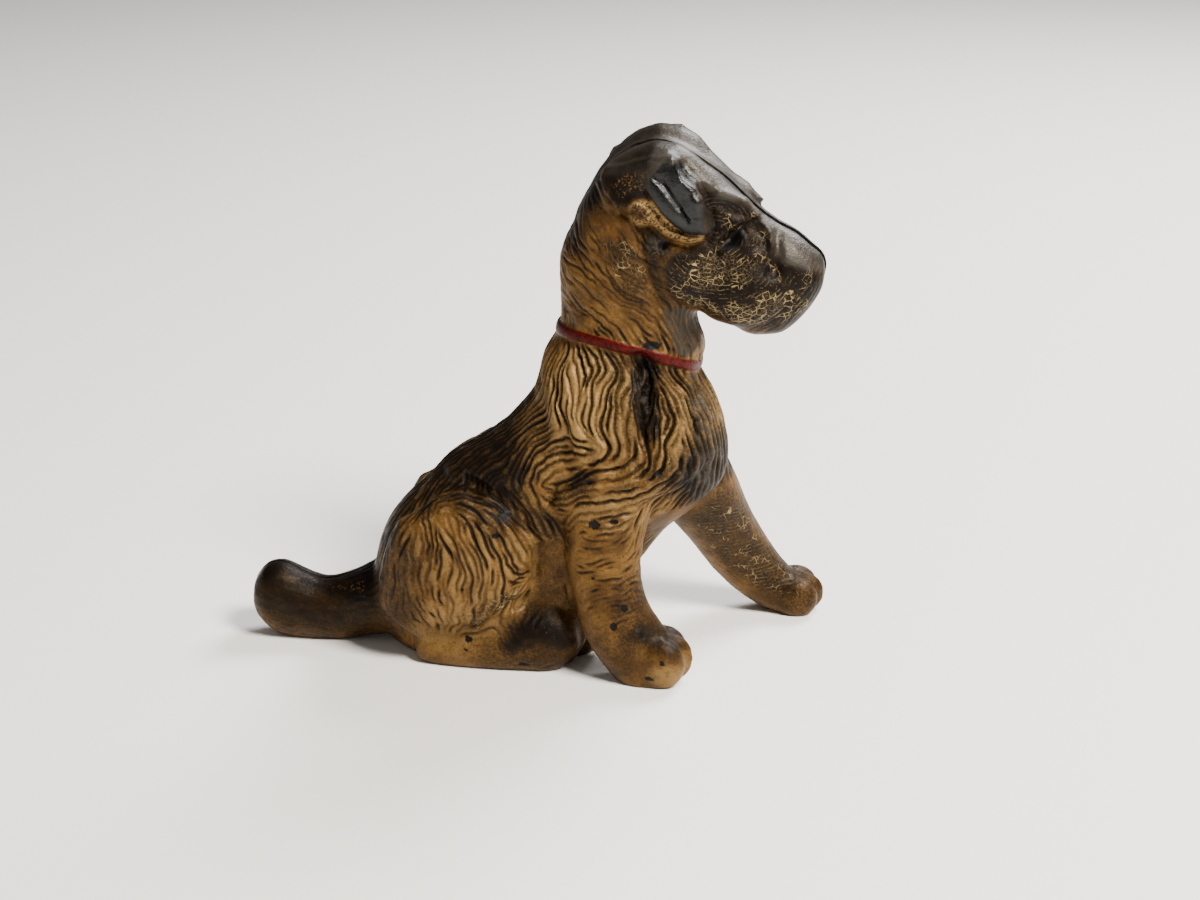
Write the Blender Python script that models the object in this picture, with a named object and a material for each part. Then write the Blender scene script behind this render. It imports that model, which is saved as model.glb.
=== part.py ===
"""Sitting wire-haired terrier: a small painted figure of cast iron, made as a right and a left half casting.

The layout is drawn on the joint plane in units of 1/127 of the figure's height: X runs forward, Z up from the
ground, and Y to the dog's left, with the joint plane at Y = 0.
"""
import bpy
import bmesh
import numpy as np
from math import pi
from mathutils import Matrix

# Driving sizes, in metres.
STATUE_HEIGHT = 0.127
JOINT_GAP = 0.0003
COLLAR_WIDTH = 0.0018
COLLAR_THICKNESS = 0.0006
LOCK_SPACING = 0.0052
LOCK_DEPTH = 0.0008
EYE_RADIUS = 0.0017
TOE_GROOVE_WIDTH = 0.0011
TOE_GROOVE_DEPTH = 0.0009

# Layout unit, and how finely the forms are made.
UNIT = STATUE_HEIGHT / 127
VOXEL = 0.75 * UNIT
RING_POINTS = 40
RINGS_PER_STATION = 4
BLEND_PASSES = 9
TRIANGLES_PER_HALF = 4700

# Bodies on the joint plane. A station is one outline point, the opposite outline point, half width and squareness.
TRUNK = (
    ((-34.0, -1.0), (13.0, -1.5), 12.0, 2.3),
    ((-38.2, 4.0), (16.0, 3.0), 14.5, 2.5),
    ((-40.2, 12.0), (18.0, 10.0), 15.5, 2.5),
    ((-40.2, 20.0), (21.0, 18.0), 15.8, 2.4),
    ((-38.1, 28.5), (26.0, 26.0), 16.0, 2.3),
    ((-33.7, 35.8), (31.0, 32.5), 16.2, 2.2),
    ((-27.4, 42.0), (37.0, 37.5), 16.6, 2.2),
    ((-21.5, 48.3), (42.0, 42.5), 17.2, 2.2),
    ((-14.8, 52.4), (44.3, 47.5), 17.6, 2.2),
    ((-8.8, 56.4), (44.2, 54.0), 17.6, 2.1),
    ((-4.6, 61.0), (43.0, 59.0), 17.0, 2.1),
    ((-1.2, 65.5), (41.2, 64.0), 15.0, 2.1),
    ((2.5, 72.0), (38.4, 69.0), 12.5, 2.0),
)
RUFF = (
    ((8.0, 51.5), (31.0, 47.0), 15.0, 2.2),
    ((4.5, 53.8), (38.0, 48.5), 19.6, 2.3),
    ((1.5, 57.5), (43.2, 52.0), 20.8, 2.3),
    ((-0.2, 62.0), (43.6, 56.5), 20.4, 2.3),
    ((-0.8, 66.0), (42.4, 61.5), 19.6, 2.2),
    ((0.2, 70.0), (40.4, 66.0), 18.2, 2.1),
    ((1.4, 74.6), (38.4, 69.6), 16.0, 2.1),
    ((4.4, 80.0), (36.8, 72.8), 12.8, 2.1),
    ((6.5, 84.0), (36.0, 77.0), 11.0, 2.1),
)
NECK = (
    ((4.0, 77.5), (36.0, 70.0), 12.0, 2.1),
    ((5.0, 80.9), (37.2, 72.8), 12.7, 2.1),
    ((5.2, 86.0), (38.9, 77.0), 13.0, 2.1),
    ((5.1, 92.0), (36.8, 83.0), 13.2, 2.2),
    ((5.1, 98.0), (36.0, 90.0), 13.2, 2.2),
    ((7.4, 104.0), (38.0, 97.0), 12.6, 2.2),
    ((11.4, 110.0), (38.0, 104.0), 10.5, 2.1),
)
HEAD = (
    ((8.6, 107.5), (9.5, 92.0), 8.0, 2.2),
    ((11.2, 112.4), (13.0, 89.0), 11.2, 2.5),
    ((14.8, 117.2), (17.5, 88.0), 13.0, 2.9),
    ((19.2, 121.6), (22.0, 87.5), 13.9, 3.2),
    ((24.0, 124.2), (27.0, 87.0), 13.6, 3.0),
    ((28.6, 124.6), (32.0, 86.6), 13.4, 3.0),
    ((33.2, 122.9), (37.0, 86.0), 12.6, 2.9),
    ((38.0, 120.0), (41.0, 84.4), 11.6, 2.8),
    ((42.6, 116.8), (45.0, 82.4), 10.9, 2.8),
    ((46.8, 112.8), (49.0, 80.2), 10.2, 2.7),
    ((50.4, 109.5), (52.5, 80.2), 9.6, 2.6),
    ((54.6, 106.6), (56.4, 80.8), 9.0, 2.5),
    ((58.9, 104.4), (59.8, 83.6), 8.2, 2.3),
    ((62.8, 101.0), (62.6, 87.0), 6.8, 2.2),
    ((65.6, 96.6), (65.0, 91.0), 4.2, 2.0),
)
TAIL = (
    ((-34.0, 22.5), (-33.0, 1.5), 9.0, 2.0),
    ((-41.5, 19.2), (-41.0, 0.7), 8.0, 2.0),
    ((-47.0, 16.4), (-47.0, -0.6), 7.2, 2.1),
    ((-53.0, 14.8), (-52.5, -1.2), 7.0, 2.1),
    ((-58.6, 16.8), (-58.0, -1.2), 7.0, 2.1),
    ((-63.0, 18.9), (-63.6, -0.6), 7.0, 2.1),
    ((-67.2, 18.2), (-67.6, 1.9), 6.6, 2.0),
    ((-70.4, 14.2), (-70.5, 5.6), 4.4, 2.0),
)

# Limbs follow a path. A station is the path's point, half width across and half depth along the outline's plane.
RIGHT_FORELEG = (
    ((16.0, -10.5, 56.0), 7.0, 9.5),
    ((17.0, -14.0, 49.0), 7.4, 10.5),
    ((17.2, -15.6, 40.0), 7.0, 9.9),
    ((16.6, -16.8, 31.0), 6.5, 9.0),
    ((17.8, -17.6, 22.0), 6.1, 8.2),
    ((20.2, -18.0, 14.0), 6.2, 8.6),
    ((24.6, -18.2, 7.0), 6.3, 8.5),
    ((28.4, -18.2, -1.0), 5.6, 6.4),
)
LEFT_FORELEG = (
    ((26.0, 9.0, 50.0), 8.5, 11.0),
    ((31.8, 12.5, 43.0), 8.4, 11.4),
    ((37.2, 16.5, 33.9), 8.0, 10.0),
    ((41.8, 20.0, 25.0), 7.2, 8.5),
    ((46.8, 23.0, 16.2), 6.5, 7.9),
    ((52.2, 25.0, 9.2), 6.2, 7.0),
    ((58.0, 25.8, 4.8), 6.3, 5.8),
    ((62.6, 26.0, 4.0), 5.4, 4.8),
)
HIND_FOOT = (
    ((-28.0, 10.4, 3.4), 4.4, 3.8),
    ((-25.0, 11.0, 3.4), 5.6, 4.8),
    ((-17.0, 11.8, 3.8), 6.2, 5.6),
    ((-9.0, 12.2, 4.6), 6.6, 6.6),
    ((-2.0, 12.2, 6.2), 7.0, 8.6),
    ((3.5, 12.2, 6.6), 6.9, 9.2),
    ((8.0, 11.2, 5.2), 6.0, 7.0),
    ((10.8, 11.0, 3.8), 3.8, 4.0),
)
HAUNCH = (
    ((-31.0, 12.0, 10.0), 5.0, 8.0),
    ((-26.0, 13.0, 16.6), 6.4, 13.6),
    ((-18.0, 14.6, 24.4), 7.0, 18.8),
    ((-9.0, 14.2, 29.5), 6.6, 16.5),
    ((-2.5, 13.4, 30.5), 5.0, 10.5),
    ((0.5, 12.8, 30.5), 3.4, 5.0),
)
SHOULDER_FUR = (
    ((5.0, 13.0, 40.5), 3.0, 3.4),
    ((9.0, 15.6, 43.5), 4.2, 5.0),
    ((16.0, 17.0, 46.6), 4.6, 5.6),
    ((24.0, 17.0, 49.0), 4.6, 5.4),
    ((32.0, 14.8, 51.4), 4.0, 4.6),
    ((37.5, 12.0, 54.0), 2.8, 3.2),
)
SKULL_SIDE = (
    ((14.5, 4.5, 106.0), 5.0, 6.0),
    ((20.6, 6.4, 112.2), 6.6, 8.4),
    ((28.2, 7.4, 117.2), 6.8, 9.8),
    ((34.5, 7.0, 114.2), 6.0, 8.1),
    ((40.5, 6.6, 111.0), 4.8, 6.3),
    ((46.0, 6.4, 108.6), 3.4, 4.4),
)
EAR = (
    ((25.6, 10.4, 121.6), 2.6, 4.4),
    ((28.8, 12.8, 119.4), 2.3, 5.2),
    ((32.0, 14.0, 115.6), 2.1, 5.0),
    ((35.0, 14.2, 111.6), 2.0, 3.9),
    ((37.0, 13.4, 108.8), 1.6, 2.0),
)

# Rounded forms: centre, then radii along X, Y and Z. A paw's middle toe is the centre, and leads the outer two.
RIGHT_PAW = ((32.6, -18.2, 5.7), (5.6, 3.4, 6.4))
LEFT_PAW = ((63.2, 26.0, 4.3), (5.6, 3.4, 5.6))
TOE_SPREAD = 4.2
TOE_LEAD = 1.7
BROW = ((44.8, 7.0, 109.6), (5.4, 3.4, 4.6))
CHEEK = ((46.5, 7.2, 92.0), (11.0, 4.6, 8.4))
NOSE_PAD = ((60.9, 0.0, 96.4), (5.1, 5.4, 5.2))
SHOULDER_TUFT = ((4.5, 12.8, 49.5), (8.0, 4.8, 9.5))

# Carving. Paths are (x, z) points seen from the side. The collar lies round one station of the neck.
COLLAR_STATION = 1
COLLAR_SIDE_RISE = 2.4
EYE_CENTRE = (44.4, 104.6)
HAUNCH_TOP = ((-29.0, 38.5), (-24.5, 44.0), (-17.0, 46.6), (-9.0, 43.8), (-3.0, 38.5), (0.8, 31.0), (0.6, 22.0))
FOOT_TOP = ((-24.0, 9.4), (-15.0, 10.2), (-9.0, 12.5), (-5.0, 16.5), (1.0, 18.0))
EAR_FOLD = ((29.5, 118.5), (32.4, 115.0), (35.0, 111.0))
MANE_EDGE = ((24.0, 107.5), (25.0, 101.0), (26.8, 94.0), (29.2, 89.6), (32.4, 85.6), (36.0, 80.6))
BEARD_TOP = ((47.0, 112.0), (49.6, 108.6), (52.4, 104.6), (53.4, 101.0), (53.6, 97.0))
RUFF_HOLLOW = ((24.0, 76.0), (26.0, 70.5), (28.0, 64.0), (27.6, 59.0))

# Each crease: its path, width, depth, and how far from the joint plane it starts.
CREASES = (
    (HAUNCH_TOP, 1.7, 1.3, 9.0),
    (FOOT_TOP, 1.7, 1.3, 9.0),
    (EAR_FOLD, 1.3, 1.1, 10.0),
    (MANE_EDGE, 1.7, 0.8, 4.0),
    (BEARD_TOP, 1.7, 0.8, 4.0),
    (RUFF_HOLLOW, 2.2, 1.6, 7.0),
)


def material(name, colour, roughness):
    """A Principled material of painted iron."""
    made = bpy.data.materials.new(name)
    made.use_nodes = True
    shader = made.node_tree.nodes["Principled BSDF"]
    shader.inputs["Base Color"].default_value = (*colour, 1.0)
    shader.inputs["Roughness"].default_value = roughness
    shader.inputs["Metallic"].default_value = 0.0
    return made


def between_stations(rows):
    """Catmull-Rom rows between hand-set rows, so that a few stations give a smooth form."""
    rows = np.asarray(rows, float)
    padded = np.vstack([2 * rows[0] - rows[1], rows, 2 * rows[-1] - rows[-2]])
    made = []
    for start in range(len(rows) - 1):
        a, b, c, d = padded[start:start + 4]
        for step in range(RINGS_PER_STATION):
            t = step / RINGS_PER_STATION
            made.append(0.5 * (2 * b + (c - a) * t + (2 * a - 5 * b + 4 * c - d) * t**2
                               + (3 * b - a - 3 * c + d) * t**3))
    made.append(rows[-1])
    return np.array(made)


def section(centre, across, along, half_width, half_depth, squareness):
    """The points of one ring: a superellipse, round at squareness 2 and boxier above it."""
    angles = np.arange(RING_POINTS) * 2 * pi / RING_POINTS
    c, s = np.cos(angles), np.sin(angles)
    power = 2 / squareness
    out = (np.sign(c) * np.abs(c) ** power * half_width)[:, None] * across
    up = (np.sign(s) * np.abs(s) ** power * half_depth)[:, None] * along
    return centre + out + up


def add_loft(bm, rings):
    """A closed tube through the rings, its two ends closed by fans."""
    rows = [[bm.verts.new(point * UNIT) for point in ring] for ring in rings]
    for low, high in zip(rows, rows[1:]):
        for i in range(RING_POINTS):
            j = (i + 1) % RING_POINTS
            bm.faces.new((low[i], low[j], high[j], high[i]))
    for ring, row in ((rings[0], rows[0]), (rings[-1], rows[-1])):
        tip = bm.verts.new(ring.mean(axis=0) * UNIT)
        for i in range(RING_POINTS):
            bm.faces.new((row[i], row[(i + 1) % RING_POINTS], tip))


def add_body(bm, stations):
    """A body that crosses the joint plane, lofted between the two sides of its outline."""
    across = np.array([0.0, 1.0, 0.0])
    rings = []
    for x1, z1, x2, z2, half_width, squareness in between_stations(
            [(*first, *second, width, square) for first, second, width, square in stations]):
        first, second = np.array([x1, 0.0, z1]), np.array([x2, 0.0, z2])
        span = second - first
        depth = np.linalg.norm(span)
        rings.append(section((first + second) / 2, across, span / depth, half_width, depth / 2, squareness))
    add_loft(bm, rings)


def add_limb(bm, stations, side=1):
    """A limb along its path, on the side given: 1 as written, -1 mirrored through the joint plane."""
    rows = between_stations([(*point, width, depth) for point, width, depth in stations])
    path = rows[:, :3] * (1, side, 1)
    heading = np.gradient(path, axis=0)
    heading /= np.linalg.norm(heading, axis=1)[:, None]
    rings = []
    for point, ahead, half_width, half_depth in zip(path, heading, rows[:, 3], rows[:, 4]):
        along = np.cross(ahead, [0.0, 1.0, 0.0])
        along /= np.linalg.norm(along)
        rings.append(section(point, np.cross(along, ahead), along, half_width, half_depth, 2.1))
    add_loft(bm, rings)


def add_round(bm, form, side=1):
    """An ellipsoid, on the side given."""
    centre, radii = form
    made = bmesh.ops.create_uvsphere(bm, u_segments=24, v_segments=16, radius=1.0)
    for vert in made["verts"]:
        spot = np.array(vert.co) * radii + np.array(centre) * (1, side, 1)
        vert.co = spot * UNIT


def block_out():
    """Every form of the dog in one object, overlapping, then fused and blended."""
    bm = bmesh.new()
    for stations in (TRUNK, RUFF, NECK, HEAD, TAIL):
        add_body(bm, stations)
    for stations in (RIGHT_FORELEG, LEFT_FORELEG):
        add_limb(bm, stations)
    for side in (1, -1):
        for stations in (HIND_FOOT, HAUNCH, SHOULDER_FUR, SKULL_SIDE, EAR):
            add_limb(bm, stations, side)
        for form in (BROW, CHEEK, SHOULDER_TUFT):
            add_round(bm, form, side)
    add_round(bm, NOSE_PAD)
    for (x, y, z), radii in (RIGHT_PAW, LEFT_PAW):
        for across in (-1, 0, 1):
            add_round(bm, ((x - abs(across) * TOE_LEAD, y + across * TOE_SPREAD, z), radii))
    bmesh.ops.recalc_face_normals(bm, faces=bm.faces)
    mesh = bpy.data.meshes.new("blocked_out_dog")
    bm.to_mesh(mesh)
    bm.free()
    dog = bpy.data.objects.new("blocked_out_dog", mesh)
    bpy.context.scene.collection.objects.link(dog)
    fuse = dog.modifiers.new("fuse", "REMESH")
    fuse.mode = "VOXEL"
    fuse.voxel_size = VOXEL
    blend = dog.modifiers.new("blend", "SMOOTH")
    blend.factor = 0.5
    blend.iterations = BLEND_PASSES
    return applied(dog)


def applied(obj):
    """The object with its modifiers made real."""
    graph = bpy.context.evaluated_depsgraph_get()
    mesh = bpy.data.meshes.new_from_object(obj.evaluated_get(graph))
    obj.modifiers.clear()
    obj.data = mesh
    return obj


def vectors(mesh, attribute):
    """The vertices' coordinates or normals, one row for each."""
    values = np.empty(len(mesh.vertices) * 3)
    mesh.vertices.foreach_get(attribute, values)
    return values.reshape(-1, 3)


def beside_path(x, z, path, width):
    """1 on a path of straight runs, falling to 0 within about two widths of it."""
    nearest = np.full(len(x), 1e9)
    for (x1, z1), (x2, z2) in zip(path, path[1:]):
        run = np.array([x2 - x1, z2 - z1])
        t = np.clip(((x - x1) * run[0] + (z - z1) * run[1]) / run.dot(run), 0, 1)
        nearest = np.minimum(nearest, np.hypot(x - x1 - t * run[0], z - z1 - t * run[1]))
    return np.exp(-(nearest / width) ** 2)


def step_up(value, low, high):
    """0 below low, 1 above high, and smooth between."""
    t = np.clip((value - low) / (high - low), 0, 1)
    return t * t * (3 - 2 * t)


def oval(x, z, centre, radii, soft=0.35):
    """1 inside an oval seen from the side, falling to 0 past its edge."""
    reach = np.hypot((x - centre[0]) / radii[0], (z - centre[1]) / radii[1])
    return 1 - step_up(reach, 1 - soft, 1 + soft)


def locks(x, y, z):
    """Wavy locks of fur: depth from 0 on a lock to 1 in the groove beside it."""
    spacing = LOCK_SPACING / UNIT
    bend = 1.6 * np.sin(z / 7.0) + 1.1 * np.sin(z / 3.7 + x / 9.0)
    ruff = 0.5 - 0.5 * np.cos(2 * pi * (x + bend + 0.28 * (z - 60)) / spacing)
    fan = np.hypot(x + 30.0, z - 34.0) + 1.3 * np.sin(z / 4.2)
    thigh = 0.5 - 0.5 * np.cos(2 * pi * fan / spacing)
    sweep = 0.5 - 0.5 * np.cos(2 * pi * (z + 0.8 * x + 1.2 * np.sin(x / 4.5)) / spacing)
    on_ruff = oval(x, z, (20.0, 63.0), (22.0, 14.0))
    on_thigh = oval(x, z, (-14.0, 27.0), (15.0, 15.0))
    on_back = oval(x, z, (-12.0, 50.0), (16.0, 8.0))
    on_neck = oval(x, z, (19.0, 90.0), (13.0, 8.0))
    on_leg = oval(x, z, (18.0, 34.0), (8.0, 13.0))
    ruff_locks = ruff**2 * on_ruff
    return (ruff_locks + thigh**2 * on_thigh + 0.6 * sweep**2 * np.maximum(on_back, on_leg)
            + 0.5 * sweep**2 * on_neck) * step_up(np.abs(y), 2.0, 6.0)


def collar_band(x, z, side):
    """1 on the collar, which lies in a plane across the neck but climbs a little at its sides, and 0 off it."""
    back, front, half_width, _ = NECK[COLLAR_STATION]
    run = np.subtract(front, back)
    across = np.array([-run[1], run[0]]) / np.hypot(*run)
    rise = COLLAR_SIDE_RISE * np.clip(side / half_width, 0, 1) ** 2
    off_band = np.abs((x - back[0]) * across[0] + (z - back[1]) * across[1] - rise)
    half_band = COLLAR_WIDTH / UNIT / 2
    return 1 - step_up(off_band, half_band * 0.6, half_band * 1.5)


def toe_grooves(x, y, z):
    """1 in the middle of each groove between two toes, and 0 away from them."""
    depth = np.zeros(len(x))
    width = TOE_GROOVE_WIDTH / UNIT
    for (toe_x, toe_y, _), (_, _, toe_height) in (RIGHT_PAW, LEFT_PAW):
        at_paw = step_up(x, toe_x - 3.0, toe_x - 1.0) * (1 - step_up(z, 1.5 * toe_height, 2.1 * toe_height))
        for gap in (toe_y - TOE_SPREAD / 2, toe_y + TOE_SPREAD / 2):
            depth += np.exp(-((y - gap) / width) ** 2) * at_paw
    (foot_x, foot_y, _), _, foot_height = HIND_FOOT[-3]
    at_foot = step_up(x, foot_x, foot_x + 4.0) * (1 - step_up(x, foot_x + 9.0, foot_x + 12.0))
    at_foot *= 1 - step_up(z, foot_height, 1.4 * foot_height)
    for gap in (foot_y - TOE_SPREAD / 2, foot_y + TOE_SPREAD / 2):
        depth += np.exp(-((np.abs(y) - gap) / width) ** 2) * at_foot
    return depth


def carve(dog):
    """Sinks creases, locks, eyes and toes into the blocked-out form, and raises the collar band."""
    mesh = dog.data
    points, normals = vectors(mesh, "co"), vectors(mesh, "normal")
    x, y, z = (points / UNIT).T
    side = np.abs(y)
    push = COLLAR_THICKNESS * collar_band(x, z, side)
    push -= LOCK_DEPTH * locks(x, y, z)
    push -= TOE_GROOVE_DEPTH * toe_grooves(x, y, z)
    for path, width, depth, from_side in CREASES:
        push -= depth * UNIT * beside_path(x, z, path, width) * step_up(side, from_side, from_side + 4)
    eye = np.hypot(x - EYE_CENTRE[0], z - EYE_CENTRE[1]) * UNIT
    push -= 0.7 * EYE_RADIUS * np.exp(-(eye / (1.4 * EYE_RADIUS)) ** 2) * step_up(side, 4.0, 7.0)
    mesh.vertices.foreach_set("co", (points + normals * push[:, None]).ravel())
    mesh.update()


def thin_out(dog):
    """Fewer, larger triangles, packed closest where the form turns."""
    dog.data.calc_loop_triangles()
    thin = dog.modifiers.new("thin", "DECIMATE")
    thin.ratio = 2 * TRIANGLES_PER_HALF / len(dog.data.loop_triangles)
    return applied(dog)


def cut_flat(bm, point, normal):
    """Takes away what lies beyond a plane and closes the cut."""
    made = bmesh.ops.bisect_plane(bm, geom=bm.verts[:] + bm.edges[:] + bm.faces[:], dist=1e-6, plane_co=point,
                                  plane_no=normal, clear_outer=True)
    rim = [item for item in made["geom_cut"] if isinstance(item, bmesh.types.BMEdge)]
    bmesh.ops.holes_fill(bm, edges=rim)


def half_casting(name, dog, side, coat):
    """One half of the dog, flat at the joint and at its soles."""
    bm = bmesh.new()
    bm.from_mesh(dog.data)
    cut_flat(bm, (0, side * JOINT_GAP / 2, 0), (0, -side, 0))
    cut_flat(bm, (0, 0, 0), (0, 0, -1))
    bmesh.ops.triangulate(bm, faces=bm.faces)
    mesh = bpy.data.meshes.new(name)
    bm.to_mesh(mesh)
    bm.free()
    mesh.materials.append(coat)
    mesh.shade_smooth()
    mesh.set_sharp_from_angle(angle=0.7)
    half = bpy.data.objects.new(name, mesh)
    bpy.context.scene.collection.objects.link(half)
    return half


def stand_at_origin(halves):
    """Moves the halves together, so that the middle of the box round them stands on the origin."""
    corners = []
    for half in halves:
        points = vectors(half.data, "co")
        corners += [points.min(axis=0), points.max(axis=0)]
    low, high = np.min(corners, axis=0), np.max(corners, axis=0)
    away = Matrix.Translation((-(low[0] + high[0]) / 2, -(low[1] + high[1]) / 2, -low[2]))
    for half in halves:
        half.data.transform(away)


def main():
    for obj in list(bpy.data.objects):
        bpy.data.objects.remove(obj, do_unlink=True)
    dog = block_out()
    carve(dog)
    thin_out(dog)
    right = half_casting("right_casting", dog, -1, material("ochre_painted_iron", (0.30, 0.17, 0.06), 0.45))
    left = half_casting("left_casting", dog, 1, material("tan_painted_iron", (0.32, 0.19, 0.07), 0.45))
    stand_at_origin((right, left))
    bpy.data.objects.remove(dog, do_unlink=True)


main()
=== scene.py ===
"""Looks of a sitting wire-haired terrier: a small painted cast iron figure, made of two half castings.

Layout millimetres are used throughout: X forward, Z up from the ground, and Y to the dog's left of the
joint plane. Paths and zones are (x, z) points of the dog seen from its side, and hold for both its sides.
"""

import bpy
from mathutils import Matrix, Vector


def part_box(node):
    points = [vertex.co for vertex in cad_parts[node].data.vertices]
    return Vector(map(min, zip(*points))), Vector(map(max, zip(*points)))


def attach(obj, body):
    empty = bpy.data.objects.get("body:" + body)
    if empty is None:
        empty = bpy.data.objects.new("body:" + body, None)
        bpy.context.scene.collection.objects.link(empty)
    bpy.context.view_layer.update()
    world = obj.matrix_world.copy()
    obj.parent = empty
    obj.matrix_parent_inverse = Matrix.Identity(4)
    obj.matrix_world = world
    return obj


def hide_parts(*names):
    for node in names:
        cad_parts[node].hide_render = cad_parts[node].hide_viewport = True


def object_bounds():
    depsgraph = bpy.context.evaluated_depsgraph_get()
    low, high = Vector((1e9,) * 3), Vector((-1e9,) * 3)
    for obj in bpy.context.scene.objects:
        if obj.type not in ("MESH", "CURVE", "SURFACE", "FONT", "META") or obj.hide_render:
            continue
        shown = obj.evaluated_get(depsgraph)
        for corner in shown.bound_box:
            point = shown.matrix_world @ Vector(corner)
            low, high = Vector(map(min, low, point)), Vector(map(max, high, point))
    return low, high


bl_info = {
    "name": "Cast iron terrier",
    "version": (1, 0, 0),
    "blender": (4, 5, 0),
    "location": "View3D > Sidebar > Terrier",
    "description": "Builds the fur, the worn paint and the stage of a cast iron terrier",
    "category": "Add Mesh",
}
from functools import partial
from math import pi, radians

import bpy
import numpy as np
from mathutils import Matrix, Vector
from mathutils.kdtree import KDTree

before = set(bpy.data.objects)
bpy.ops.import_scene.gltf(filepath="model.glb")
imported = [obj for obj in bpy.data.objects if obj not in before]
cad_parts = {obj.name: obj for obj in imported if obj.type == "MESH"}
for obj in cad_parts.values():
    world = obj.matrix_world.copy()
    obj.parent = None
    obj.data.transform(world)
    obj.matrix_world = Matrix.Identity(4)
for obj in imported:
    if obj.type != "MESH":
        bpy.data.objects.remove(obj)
cad_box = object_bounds()

MM = 0.001
# Where the end of the tail lies in the layout.
TAIL_END_X = -70.46

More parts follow.
